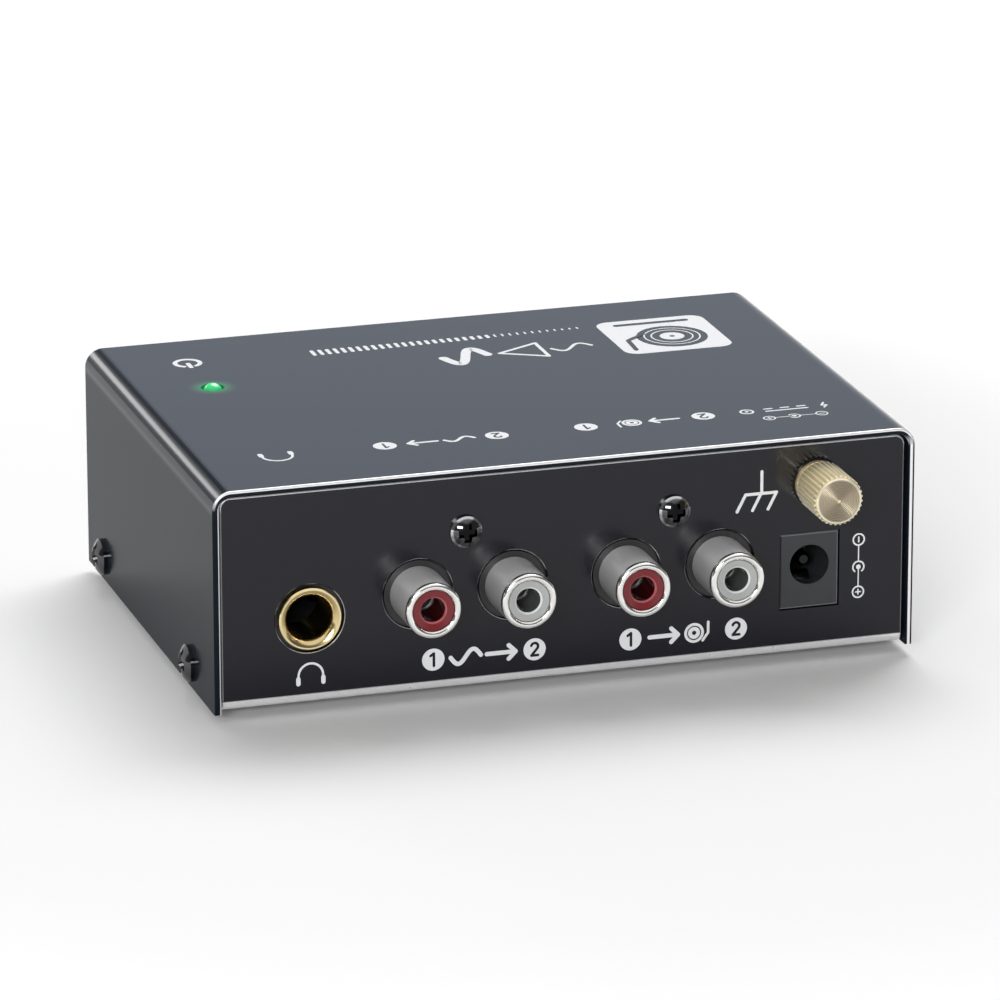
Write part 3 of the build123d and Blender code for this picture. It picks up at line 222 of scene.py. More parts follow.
corners = np.array([(-1, -1, 0), (1, -1, 0), (1, 1, 0), (-1, 1, 0)]) * floorLook["reach"]
floorMesh = bpy.data.meshes.new("floor")
floorMesh.from_pydata(corners.tolist(), [], [(0, 1, 2, 3)])
floor = bpy.data.objects.new("floor", floorMesh)
bpy.context.scene.collection.objects.link(floor)
floorFinish = Finish("floorFinish", Base_Color=floorLook["colour"], Roughness=floorLook["roughness"])
floorFinish.set(Specular_IOR_Level=floorLook["shine"], Emission_Strength=1.0)
# Far from the object the floor pales into the white behind it
away = floorFinish.spread(floorFinish.x, floorFinish.y).rise(*floorLook["fades"])
pale = away * (floorLook["far"] - floorLook["near"]) + floorLook["near"]
floorFinish.set(Emission_Color=floorFinish.grey(floorFinish.seenDirectly() * pale))
floorMesh.materials.append(floorFinish.material)

roomLook = dict(seen=1.0, front=0.12, back=0.72, rise=(-0.3, 0.5))  # rise: along Y, from front to back
tint = dict(left=2, right=40, low=8, high=32, soft=4, colour=(0.92, 1.01, 1.16))
cards = [  # dark cards round the set: azimuth from +Y towards +X, height, softness, in degrees
    dict(left=-40, right=-24, low=1, high=8, soft=2, depth=0.95),
    dict(left=-4, right=7, low=21, high=30, soft=2, depth=0.9),
    dict(left=-200, right=-75, low=-2, high=38, soft=10, depth=0.85),
    dict(left=78, right=200, low=-2, high=34, soft=10, depth=0.85),
]
world = bpy.data.worlds.new("room")
bpy.context.scene.world = world
world.use_nodes = True
room = Web(world.node_tree)
seen = room.seenDirectly()
east = room.node("ShaderNodeSeparateXYZ", None, {0: room.node("ShaderNodeTexCoord")})
azimuth = east.math("ARCTAN2", room.other(east, "Y")) * (180 / pi)
height = room.other(east, "Z").math("ARCSINE") * (180 / pi)


def patch(look):
    across = azimuth.between(look["left"], look["right"], look["soft"])
    return across * height.between(look["low"], look["high"], look["soft"])


shade = roomLook["seen"]
for card in cards:
    shade = shade * (1 - patch(card) * card["depth"])
tinted = room.mix(patch(tint) * room.seenInGloss(), (1, 1, 1), tint["colour"])
shown = room.node("ShaderNodeBackground", None, {"Color": tinted, "Strength": shade})
behind = room.other(east, "Y").rise(*roomLook["rise"])
level = behind * (roomLook["back"] - roomLook["front"]) + roomLook["front"]
lit = room.node("ShaderNodeBackground", None, {"Color": (1, 1, 1), "Strength": level})
both = room.node("ShaderNodeMixShader", None, {0: seen, 1: lit, 2: shown})
room.node("ShaderNodeOutputWorld", None, {"Surface": both})

lamps = {  # metres and watts
    "backLamp": dict(spot=(0.28, 0.52, 0.92), aim=(0, 0, 0.02), width=0.8, height=0.5, power=6.6),
    "keyLamp": dict(spot=(-0.50, -0.95, 0.38), aim=(0, -0.03, 0.02), width=0.5, height=0.2, power=7.2),
    "stripLamp": dict(spot=(-0.343, 0.997, 0.314), aim=(0, 0, 0.03), width=0.30, height=0.14, power=0.8),
}
for name, look in lamps.items():
    light = bpy.data.lights.new(name, "AREA")
    light.shape = "RECTANGLE"
    light.size = look["width"]
    light.size_y = look["height"]
    light.energy = look["power"]
    lamp = bpy.data.objects.new(name, light)
    bpy.context.scene.collection.objects.link(lamp)
    turned = (Vector(look["aim"]) - Vector(look["spot"])).to_track_quat("-Z", "Y")
    lamp.matrix_world = Matrix.Translation(look["spot"]) @ turned.to_matrix().to_4x4()
    lamp.visible_camera = False
print("floor, room and lamps ready")


# Painted steel: gloss black with a faint orange peel. Painted highlights: bright lines coloured into
# the paint where the sheet is cut, and a bright painted reflection where it is bent under the panel
coverLook = dict(colour=(0.006, 0.009, 0.015), gloss=0.16, ior=1.22, sides=0.6, halfWidth=53.5, bend=2.8)
trayLook = dict(colour=(0.0065, 0.0068, 0.0115), gloss=0.16, ior=1.4, halfWidth=52.2, bend=1.5)
paintedEdgeLook = dict(colour=(0.90, 0.90, 0.91), gloss=0.10, metal=0.6, soft=0.05, face=(0.14, 0.27))
paintedLineLook = dict(top=(-1, 0.36), right=(0.35, 0.72), left=(0.8, 1), wrap=1.2)  # depths in the cover's sheet


# How deep a point lies in a folded sheet whose section is a box with rounded top corners:
# the corner's radius less the distance from the corner's centre, which is 0 on the outside
def depthInSheet(finish, look, top):
    side = (finish.x.size() - (look["halfWidth"] - look["bend"])).atLeast(0)
    up = (finish.z - (top - look["bend"])).atLeast(0)
    return look["bend"] - finish.spread(side, up)


def cutFace(distance):  # 1 on the cut face that a distance is taken from, to the end of its round
    return 1 - distance.rise(*paintedEdgeLook["face"])


def paintedSteel(name, look):
    finish = Finish(name, IOR=look["ior"])
    peel = finish.noise(1.1, 3)
    grain = finish.noise(9.0, 2)
    finish.bump(peel * 0.8 + grain * 0.2, 0.12, 0.01)
    return finish, peel


# Mixes a painted highlight mask into the paint's colour, roughness and metal
def paintWithHighlights(finish, look, peel, paintedHighlight):
    finish.set(Base_Color=finish.mix(paintedHighlight, look["colour"], paintedEdgeLook["colour"]))
    finish.set(Roughness=peel * 0.05 + paintedHighlight * paintedEdgeLook["gloss"] + look["gloss"])
    finish.set(Metallic=paintedHighlight * paintedEdgeLook["metal"])


coverLow, coverHigh = box("top_cover")
coverFinish, peel = paintedSteel("coverPaint", coverLook)
# The gloss is a clear coat, thinner on the sides
bendLine = coverHigh.z - coverLook["bend"]
sides = 1 - coverFinish.z.rise(bendLine - 1, bendLine)
coverFinish.set(Specular_IOR_Level=0.0, Coat_IOR=coverLook["ior"], Coat_Roughness=coverLook["gloss"])
coverFinish.set(Coat_Weight=1 - sides * (1 - coverLook["sides"]))
# Painted highlights: thin bright lines coloured along the cover's front and back cut edges
depth = depthInSheet(coverFinish, coverLook, coverHigh.z)
onTop = coverFinish.z.rise(bendLine, coverHigh.z - paintedLineLook["wrap"])
onRight = coverFinish.x.rise(-1, 1) * (1 - onTop)
onLeft = 1 - onTop.atLeast(onRight)
line = onTop * depth.between(*paintedLineLook["top"], paintedEdgeLook["soft"])
line = line.atLeast(onRight * depth.between(*paintedLineLook["right"], paintedEdgeLook["soft"]))
line = line.atLeast(onLeft * depth.between(*paintedLineLook["left"], paintedEdgeLook["soft"]))
rim = line * cutFace(coverFinish.y - coverLow.y).atLeast(cutFace(coverHigh.y - coverFinish.y))
paintWithHighlights(coverFinish, coverLook, peel, rim)

# Painted glow: the green light's glow on the paint round it is light given off by the paint itself
paintedGlowLook = dict(colour=(0.008, 0.30, 0.08), start=1.2, reach=4.2)
lightMiddle = middleOf("power_light")
away = coverFinish.fromZ(lightMiddle.x, lightMiddle.y)
near = 1 - away.rise(paintedGlowLook["start"], paintedGlowLook["reach"])
near = near * coverFinish.z.rise(coverHigh.z - 1.2, coverHigh.z - 0.9)  # on the top's outside only
coverFinish.set(Emission_Color=coverFinish.mix(near * near, (0, 0, 0), paintedGlowLook["colour"]))
coverFinish.set(Emission_Strength=1.0)
dress(coverFinish, "top_cover")

trayLow, trayHigh = box("chassis_tray")
trayFinish, peel = paintedSteel("trayPaint", trayLook)
behindFace = trayFinish.y - trayLow.y
# Painted highlights: bright lines along the tray's cut edges, and a painted reflection of the floor as a
# bright band on the bend under the panel
rim = 1 - depthInSheet(trayFinish, trayLook, trayHigh.z).rise(0.2, 0.27)
rim = rim * cutFace(behindFace)
rim = rim * (trayFinish.z.rise(trayHigh.z - 2.4, trayHigh.z - 1.2) * 0.7 + 0.3)  # fainter down the sides
bendLine = trayLow.z + trayLook["bend"] - 0.1
bend = (1 - trayFinish.z.rise(bendLine, bendLine + 0.2)) * (1 - behindFace.rise(1.2, 1.4))
paintedHighlight = rim.atLeast(bend)

# Painted highlights: the edges of the round holes are coloured bright in places
holeLook = dict(headphone=5.25, phono=5.35, inside=0.03, outside=0.06, soft=0.02)  # radii and the line
uneven = trayFinish.noise(0.35, 1).rise(0.38, 0.62)
shells = ["line_out_red_shell", "line_out_white_shell", "phono_in_red_shell", "phono_in_white_shell"]
holes = [("headphone_jack_ferrule", holeLook["headphone"])] + [(name, holeLook["phono"]) for name in shells]
for name, radius in holes:
    ring = trayFinish.fromY(middleOf(name))
    ring = ring.between(radius - holeLook["inside"], radius + holeLook["outside"], holeLook["soft"])
    paintedHighlight = paintedHighlight.atLeast(ring * uneven * (1 - behindFace.rise(0.12, 0.2)))
paintWithHighlights(trayFinish, trayLook, peel, paintedHighlight)
dress(trayFinish, "chassis_tray")
print("painted steel ready")


# Metals: a colour, a roughness and faint clouds in both
metals = {
    "nickelFinish": dict(colour=(0.86, 0.85, 0.825), rough=0.12, cloud=0.04),
    "goldFinish": dict(colour=(0.86, 0.72, 0.40), rough=0.14, cloud=0.05),
    "brassFinish": dict(colour=(0.98, 0.92, 0.73), rough=0.22, cloud=0.04),
    "tinFinish": dict(colour=(0.62, 0.62, 0.61), rough=0.36, cloud=0.1),
    "steelFinish": dict(colour=(0.55, 0.55, 0.55), rough=0.34, cloud=0.1),
    "blackChromeFinish": dict(colour=(0.10, 0.10, 0.105), rough=0.07, cloud=0.03),
    "darkPinFinish": dict(colour=(0.025, 0.025, 0.025), rough=0.12, cloud=0.04),
    "copperFinish": dict(colour=(0.65, 0.27, 0.13), rough=0.3, cloud=0.05),
}
finishes = {}
for name, look in metals.items():
    finish = Finish(name, Metallic=1.0)
    cloud = finish.noise(1.6, 3)
    duller = tuple(0.9 * part for part in look["colour"])
    finish.set(Base_Color=finish.mix(cloud, duller, look["colour"]))
    finish.set(Roughness=cloud * look["cloud"] + look["rough"])
    finishes[name] = finish

dress(finishes["tinFinish"], "line_out_contacts", "phono_in_contacts", "line_out_ground_tags",
      "phono_in_ground_tags", "headphone_terminals", "power_spring_terminal", "ground_lug",
      "power_light_leads", "op_amp_legs", "capacitor_leads", "resistor_leads", "diode_leads",
      "choke_leads", "regulator_tab", "regulator_legs")
dress(finishes["steelFinish"], "board_standoffs", "board_screws", "ground_stud", "ground_lock_washer")
dress(finishes["darkPinFinish"], "power_jack_pin", "power_jack_spring", "headphone_tip_spring",
      "headphone_ring_spring")

# Black chrome screws: those on the panel have painted shade in their cross recesses and painted highlights
# on their rims
screwPaintedLight = dict(depth=0.35, reach=1.55, colour=(0.012, 0.012, 0.012), rim=2.0, paintedHighlight=(0.55, 0.55, 0.56))
screwLow, screwHigh = box("connector_screws")
chrome = finishes["blackChromeFinish"]
headRadius = (screwHigh.z - screwLow.z) / 2
inward = Vector((headRadius, 0, headRadius))
radius = chrome.fromPair(screwLow + inward, screwHigh - inward)
behindHead = chrome.y - screwLow.y
paintedRecessShade = 1 - radius.rise(screwPaintedLight["reach"], screwPaintedLight["reach"] + 0.05)
paintedRecessShade = paintedRecessShade * behindHead.rise(screwPaintedLight["depth"], screwPaintedLight["depth"] + 0.1)
paintedEdgeHighlight = radius.rise(screwPaintedLight["rim"], screwPaintedLight["rim"] + 0.2) * (1 - behindHead.rise(2, 2.1))
colour = chrome.mix(paintedRecessShade, metals["blackChromeFinish"]["colour"], screwPaintedLight["colour"])
chrome.set(Base_Color=chrome.mix(paintedEdgeHighlight, colour, screwPaintedLight["paintedHighlight"]))
dress(chrome, "connector_screws", "cover_screws")

# Gold ferrule: a bright rim round a duller funnel
ferruleLook = dict(rim=4.3, funnel=(0.70, 0.56, 0.29))
gold = finishes["goldFinish"]
radius = gold.fromY(middleOf("headphone_jack_ferrule"))
funnel = 1 - radius.rise(ferruleLook["rim"], ferruleLook["rim"] + 0.1)
gold.set(Base_Color=gold.mix(funnel, metals["goldFinish"]["colour"], ferruleLook["funnel"]))
gold.set(Roughness=funnel * 0.06 + metals["goldFinish"]["rough"])
dress(gold, "headphone_jack_ferrule")

# Nickel shells: satin barrels with polished rims
shellLook = dict(rim=0.7, satin=0.34, dull=0.42, colour=(0.95, 0.95, 0.95), under=(0.22, 0.22, 0.22))
nickel = finishes["nickelFinish"]
shellFront = box(shells[0])[0].y
barrel = nickel.y.rise(shellFront + shellLook["rim"], shellFront + shellLook["rim"] + 0.3)
rough = nickel.noise(1.6, 3) * metals["nickelFinish"]["cloud"] + barrel * shellLook["satin"]
nickel.set(Roughness=rough + metals["nickelFinish"]["rough"])
# Painted shade: the barrels' colour darkens downwards
middle = middleOf(shells[0]).z
satin = nickel.mix(nickel.z.rise(middle - 3, middle + 3.5), shellLook["under"], shellLook["colour"])
nickel.set(Base_Color=nickel.mix(barrel, metals["nickelFinish"]["colour"], satin))
nickel.set(Metallic=1 - barrel * shellLook["dull"])
dress(nickel, *shells)

# Copper winding: its turns lie round an upright core
windingLook = dict(pitch=0.45, groove=(0.25, 0.09, 0.04), crest=(0.72, 0.31, 0.14))
winding = finishes["copperFinish"]
turns = (winding.z * (2 * pi / windingLook["pitch"])).math("SINE") * 0.5 + 0.5
winding.set(Base_Color=winding.mix(turns, windingLook["groove"], windingLook["crest"])).bump(turns, 0.8, 0.1)
dress(winding, "choke_winding")

# Brass ground terminal: bright knurl, and turned rings on a darker end
nutLook = dict(ring=0.24, end=(0.30, 0.24, 0.165), paintedGrooveShade=(0.80, 0.64, 0.30), dull=0.4)  # ring: pitch
brass = finishes["brassFinish"]
radius = brass.fromY(middleOf("ground_thumb_nut"))
behindEnd = brass.y - box("ground_thumb_nut")[0].y
end = (1 - behindEnd.rise(0.02, 0.06)) * (1 - radius.rise(3.1, 3.3))
rings = (radius * (2 * pi / nutLook["ring"])).math("SINE") * 0.5 + 0.5
# Painted shade: the bottoms of the knurl's grooves are coloured darker
groove = (1 - radius.rise(3.5, 3.72)) * behindEnd.rise(0.1, 0.2)
colour = brass.mix(groove, metals["brassFinish"]["colour"], nutLook["paintedGrooveShade"])
brass.set(Base_Color=brass.mix(end * (0.75 + rings * 0.25), colour, nutLook["end"]))
brass.set(Roughness=end * 0.08 + metals["brassFinish"]["rough"])
brass.set(Metallic=1 - (1 - end) * (1 - nutLook["dull"]))
brass.bump(rings * end, 0.8, 0.05)
dress(brass, "ground_thumb_nut", "ground_washer")
print("metals ready")


# Plastics, rubber, ceramics and lacquer: two close shades, a roughness and a fine skin
plastics = {
    "blackPlasticFinish": dict(one=(0.014, 0.014, 0.015), two=(0.020, 0.020, 0.022), rough=0.34, skin=6.0),
    "charcoalFinish": dict(one=(0.024, 0.027, 0.029), two=(0.030, 0.033, 0.036), rough=0.36, skin=7.0),
    "redPlasticFinish": dict(one=(0.15, 0.007, 0.011), two=(0.19, 0.009, 0.014), rough=0.18, skin=5.0),
    "whitePlasticFinish": dict(one=(0.37, 0.385, 0.375), two=(0.44, 0.455, 0.445), rough=0.18, skin=5.0),
    "rubberFinish": dict(one=(0.018, 0.018, 0.018), two=(0.030, 0.030, 0.030), rough=0.75, skin=3.0),
    "filmFinish": dict(one=(0.36, 0.03, 0.025), two=(0.46, 0.05, 0.035), rough=0.3, skin=4.0),
    "sleeveFinish": dict(one=(0.010, 0.014, 0.045), two=(0.014, 0.020, 0.060), rough=0.3, skin=4.0),
    "ceramicFinish": dict(one=(0.42, 0.20, 0.05), two=(0.52, 0.27, 0.08), rough=0.45, skin=3.0),
    "resistorFinish": dict(one=(0.12, 0.26, 0.36), two=(0.16, 0.32, 0.43), rough=0.3, skin=4.0),
    "diodeFinish": dict(one=(0.016, 0.016, 0.017), two=(0.022, 0.022, 0.024), rough=0.3, skin=4.0),
    "ferriteFinish": dict(one=(0.020, 0.020, 0.022), two=(0.040, 0.040, 0.042), rough=0.7, skin=2.5),
    "wireFinish": dict(one=(0.015, 0.16, 0.035), two=(0.02, 0.22, 0.05), rough=0.38, skin=4.0),
    "laminateFinish": dict(one=(0.008, 0.085, 0.030), two=(0.012, 0.105, 0.038), rough=0.3, skin=5.0),
}
shades = {}
for name, look in plastics.items():
    finish = Finish(name)
    cloud = finish.noise(0.7, 4)
    shades[name] = finish.mix(cloud, look["one"], look["two"])
    finish.set(Base_Color=shades[name], Roughness=cloud * 0.06 + look["rough"])
    finish.bump(finish.noise(look["skin"], 3), 0.08, 0.02)
    finishes[name] = finish

dress(finishes["blackPlasticFinish"], "line_out_housing", "phono_in_housing", "headphone_jack_body",
      "power_light_spacer", "op_amps", "voltage_regulator")

# Socket inserts: a painted highlight, a lighter ring on the break round each bore, and painted shade down
# the bore
insertLook = dict(bore=1.84, wide=0.22, soft=0.02, dark=0.25,
                  red=(0.42, 0.09, 0.10), white=(0.78, 0.79, 0.78))
for colour in ("red", "white"):
    name = colour + "PlasticFinish"
    pair = ["line_out_" + colour + "_insert", "phono_in_" + colour + "_insert"]
    insert = finishes[name]
    radius = insert.fromPair(*map(middleOf, pair))
    ring = radius.between(insertLook["bore"], insertLook["bore"] + insertLook["wide"], insertLook["soft"])
    outside = radius.rise(insertLook["bore"] - insertLook["soft"], insertLook["bore"])
    lit = outside * (1 - insertLook["dark"]) + insertLook["dark"]
    paintedBoreShade = insert.mix(lit, (0, 0, 0), shades[name])
    insert.set(Base_Color=insert.mix(ring, paintedBoreShade, insertLook[colour]))
    dress(insert, *pair)

dress(finishes["rubberFinish"], "rubber_feet")
dress(finishes["filmFinish"], "film_capacitors")
dress(finishes["ceramicFinish"], "ceramic_capacitors")
dress(finishes["ferriteFinish"], "choke_core")
dress(finishes["wireFinish"], "ground_wire")

# The power jack's face, with painted highlights along its edges
jackLook = dict(edge=0.24, colour=(0.14, 0.145, 0.15))
jackLow, jackHigh = box("power_jack_body")
jack = finishes["charcoalFinish"]
level = jack.z.between(jackLow.z + jackLook["edge"], jackHigh.z - jackLook["edge"], 0.04)
level = level * (1 - jack.x.rise(jackHigh.x - jackLook["edge"], jackHigh.x - jackLook["edge"] + 0.04))
paintedEdgeHighlight = (1 - level) * (1 - jack.y.rise(jackLow.y + 0.1, jackLow.y + 0.3))
jack.set(Base_Color=jack.mix(paintedEdgeHighlight, shades["charcoalFinish"], jackLook["colour"]))
dress(jack, "power_jack_body")

# Electrolytic capacitors: printed sleeves with a bare top
canLook = dict(cap=(0.60, 0.60, 0.61), print=(0.35, 0.38, 0.48), pitch=1.7)
sleeve = plastics["sleeveFinish"]
small = Finish("smallSleeveFinish", Roughness=sleeve["rough"])
for name, canFinish in (("large_capacitors", finishes["sleeveFinish"]), ("small_capacitors", small)):
    top = box(name)[1].z
    metal = canFinish.z.rise(top - 0.06, top - 0.03)
    line = (canFinish.z * (2 * pi / canLook["pitch"])).math("SINE").rise(0.90, 0.96)
    dark = canFinish.mix(canFinish.noise(0.7, 4), sleeve["one"], sleeve["two"])
    printed = canFinish.mix(line * canFinish.noise(2.5, 1).rise(0.45, 0.5), dark, canLook["print"])
    canFinish.set(Base_Color=canFinish.mix(metal, printed, canLook["cap"]), Metallic=metal)
    dress(canFinish, name)

# Resistors lie along Y in two rows: four colour bands, placed from each row's middle
bandLook = [(-1.9, (0.10, 0.035, 0.012)), (-0.75, (0.012, 0.012, 0.012)), (0.3, (0.45, 0.10, 0.012)),
            (1.9, (0.50, 0.36, 0.10))]
bandHalf = 0.275
rowInset = 3.15  # half a resistor's body
resistorLow, resistorHigh = box("resistors")
body = finishes["resistorFinish"]
middle = (resistorLow.y + resistorHigh.y) / 2
along = (body.y - middle).size() - (resistorHigh.y - middle - rowInset)
colour = shades["resistorFinish"]
for place, band in bandLook:
    colour = body.mix(along.between(place - bandHalf, place + bandHalf, 0.03), colour, band)
body.set(Base_Color=colour)
dress(body, "resistors")

# Diode: a pale cathode band near one end
diodeLow, diodeHigh = box("diode")
diode = finishes["diodeFinish"]
length = max(diodeHigh.x - diodeLow.x, diodeHigh.y - diodeLow.y)
lengthwise = diode.x - diodeLow.x if diodeHigh.x - diodeLow.x == length else diode.y - diodeLow.y
band = lengthwise.between(0.16 * length, 0.32 * length, 0.03)
diode.set(Base_Color=diode.mix(band, shades["diodeFinish"], (0.55, 0.55, 0.55)))
dress(diode, "diode")

# Circuit board: green mask over fine copper tracks, with bare glass fibre at its edges
boardLook = dict(track=(0.016, 0.15, 0.052), fibre=(0.42, 0.36, 0.16), pitch=2.54, width=0.18)
boardLow, boardHigh = box("circuit_board")
board = finishes["laminateFinish"]
wander = board.noise(0.12, 1).rise(0.42, 0.58) * boardLook["pitch"]
lane = ((board.x + wander) * (pi / boardLook["pitch"])).math("SINE").size().rise(0, boardLook["width"])
mask = board.mix(lane, boardLook["track"], shades["laminateFinish"])
inner = board.x.between(boardLow.x + 0.02, boardHigh.x - 0.02, 0.01)
inner = inner * board.y.between(boardLow.y + 0.02, boardHigh.y - 0.02, 0.01)
board.set(Base_Color=board.mix(inner, boardLook["fibre"], mask)).bump(1 - lane, 0.3, 0.03)
dress(board, "circuit_board")

# Green light: lit from inside, brightest low on the side towards the panel
lensLook = dict(colour=(0.02, 0.30, 0.08), glow=(0.01, 0.46, 0.14), core=(0.62, 1.0, 0.78),
                rim=(0.002, 0.06, 0.02), aside=0.3, ahead=0.4)
lens = Finish("lensFinish", Roughness=0.08, Emission_Strength=1.0, Base_Color=lensLook["colour"])
away = lens.fromZ(lightMiddle.x + lensLook["aside"], lightMiddle.y - lensLook["ahead"])
hot = 1 - away.rise(0.15, 0.75)
dim = lens.fromZ(lightMiddle.x, lightMiddle.y).rise(0.9, 1.5) * 0.7
ripple = lens.noise(2.0, 2) * 0.3 + 0.85
glow = lens.mix(hot * hot, lensLook["glow"], lensLook["core"])
lens.set(Emission_Color=lens.mix(dim * ripple, glow, lensLook["rim"]))
dress(lens, "power_light")
print("plastics, board and light ready")


# Printed marks on a flat face, drawn as the one who reads them sees them. Each stroke is a
# thin closed strip along a path. Its half width stays the same along the path and follows a
# half circle past the two ends, and its top lies a little higher than the last stroke's.
class Printing:
    thickness = 0.02  # of a layer of ink
    rise = 0.0006  # from one stroke's top to the next one's
    sink = 0.004  # below the surface

    def __init__(self, name, across, up):
        self.name = name
        self.across = np.array(across, float)
        self.up = np.array(up, float)
        self.out = np.cross(self.across, self.up)
        self.corners = []
        self.faces = []
        self.strokes = 0

    def at(self, x, y, z, turn=0.0):  # where the next marks' own zero lies, and how far they turn
        self.spot = np.array((x, y, z))
        angle = radians(turn)
        self.turn = np.array([(np.cos(angle), -np.sin(angle)), (np.sin(angle), np.cos(angle))])
        return self

    def strip(self, path, wide, closed, layer):
        way = np.roll(path, -1, axis=0) - np.roll(path, 1, axis=0) if closed else np.gradient(path, axis=0)
        way = way / np.linalg.norm(way, axis=1, keepdims=True)
        side = np.stack([-way[:, 1], way[:, 0]], axis=1) * np.reshape(wide, (-1, 1))
        top = self.thickness * (1 + layer) + self.rise * (self.strokes % 12)
        left, right, foot = path + side, path - side, -self.sink
        rows = []
        for flat, height in ((left, foot), (left, top), (right, top), (right, foot)):
            flat = flat @ self.turn.T
            rows.append(self.spot + flat[:, :1] * self.across + flat[:, 1:] * self.up + height * self.out)
        first = sum(map(len, self.corners))
        count = len(path)
        here = np.arange(count if closed else count - 1)[:, None]
        corner = np.arange(4)
        after = (here + 1) % count
        quads = np.stack([here * 4 + corner, here * 4 + (corner + 1) % 4,
                          after * 4 + (corner + 1) % 4, after * 4 + corner], axis=-1).reshape(-1, 4)
        if not closed:
            quads = np.concatenate([quads, [[3, 2, 1, 0]], (count - 1) * 4 + np.arange(4)[None]])
        self.corners.append(np.stack(rows, axis=1).reshape(-1, 3))
        self.faces.append(quads + first)
        self.strokes += 1

    def stroke(self, path, half, layer=0):
        path = np.asarray(path, float)
        turn = np.linspace(0.03, 0.5, 7) * pi
        back = half * np.cos(turn)[:, None]
        start = (path[1] - path[0]) / np.linalg.norm(path[1] - path[0])
        finish = (path[-1] - path[-2]) / np.linalg.norm(path[-1] - path[-2])
        longer = np.concatenate([path[0] - back * start, path[1:-1], (path[-1] + back * finish)[::-1]])
        wide = half * np.concatenate([np.sin(turn), np.ones(len(path) - 2), np.sin(turn)[::-1]])
        self.strip(longer, wide, False, layer)

    def lines(self, points, half, layer=0):  # straight runs with round corners
        for start, end in zip(points, points[1:]):
            self.stroke([start, end], half, layer)

    def ring(self, x, y, radius, half, layer=0):
        self.strip(arc(x, y, radius, 0, 352.5), half, True, layer)

    def dot(self, x, y, radius, layer=0):
        self.stroke([(x - 0.01, y), (x + 0.01, y)], radius, layer)

    def plate(self, width, height, corner, layer=0):  # a filled box with rounded corners
        turn = np.linspace(0.02, 0.5, 9) * pi
        inset = corner * (1 - np.sin(turn))
        place = height / 2 - corner * (1 - np.cos(turn))
        reach = np.concatenate([-place, place[::-1]])
        wide = width / 2 - np.concatenate([inset, inset[::-1]])
        self.strip(np.stack([reach * 0, reach], axis=1), wide, False, layer)

    def done(self, material, body):
        mesh = bpy.data.meshes.new(self.name)
        corners = np.concatenate(self.corners) * mm
        mesh.from_pydata(corners.tolist(), [], np.concatenate(self.faces).tolist())
        mesh.materials.append(material)
        piece = bpy.data.objects.new(self.name, mesh)
        bpy.context.scene.collection.objects.link(piece)
        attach(piece, body)
        print(self.name, "has", len(mesh.polygons), "faces")


def arc(x, y, radius, start, end):  # points round a centre, 7.5 degrees apart
    angle = np.radians(np.linspace(start, end, max(4, int(abs(end - start) / 7.5) + 1)))
    return np.stack([x + radius * np.cos(angle), y + radius * np.sin(angle)], axis=1)


def headphones(ink, size=1.0):
    ink.stroke(arc(0, 0, 1.85 * size, -8, 188), 0.17 * size)
    for side in (-1, 1):
        ink.stroke([(side * 1.88 * size, -0.4 * size), (side * 1.88 * size, -1.15 * size)], 0.33 * size)


def wave(ink, x, width, height, half):
    along = np.linspace(-0.5, 0.5, 41)
    ink.stroke(np.stack([x + along * width, height * np.sin(2 * pi * along)], axis=1), half)


def arrow(ink, x, length, half):
    tip = x + length / 2
    ink.stroke([(x - length / 2, 0), (tip, 0)], half)
    ink.lines([(tip - 1.05, 1.05), (tip, 0), (tip - 1.05, -1.05)], half)


def record(ink, x, radius, half):  # a disc with a groove and a hole, and an arm beside it
    ink.ring(x, 0, radius * 0.88, radius * 0.14)
    ink.ring(x, 0, radius * 0.42, radius * 0.2)
    arm = np.array([(1.45, 1), (1.45, -0.1), (0.9, -0.85)]) * radius
    ink.lines(arm + (x, 0), half)


def polarity(ink, minus, plus):  # minus outside, plus in the middle: rings on a line, top to bottom
    radius = 0.86
    ink.ring(0, minus, radius, 0.12)
    ink.stroke([(0, minus - 0.36), (0, minus + 0.36)], 0.11)
    ink.stroke([(0, minus - radius), (0, radius)], 0.09)
    ink.stroke(arc(0, 0, radius, -50, 230), 0.12)
    ink.dot(0, 0, 0.36)
    ink.stroke([(0, 0), (0, plus + radius)], 0.09)
    ink.ring(0, plus, radius, 0.12)
    ink.stroke([(-0.38, plus), (0.38, plus)], 0.1)
    ink.stroke([(0, plus - 0.38), (0, plus + 0.38)], 0.1)


def digit(ink, number, half):
    if number == 1:
        ink.lines([(-0.42, 0.6), (0.08, 0.95), (0.08, -0.95)], half, 1)
    else:
        ink.stroke(arc(0, 0.45, 0.52, 165, -35), half, 1)
        ink.lines([(0.43, 0.15), (-0.5, -0.93), (0.52, -0.93)], half, 1)


# White ink, and marks cut out of it that show the paint
inkLook = dict(one=(0.80, 0.81, 0.82), two=(0.85, 0.86, 0.87))
inkFinish = Finish("inkFinish", Specular_IOR_Level=0.4)
cloud = inkFinish.noise(2.0, 3)
inkFinish.set(Base_Color=inkFinish.mix(cloud, inkLook["one"], inkLook["two"]), Roughness=cloud * 0.08 + 0.4)
inkFinish.bump(inkFinish.noise(12.0, 2), 0.05, 0.01)

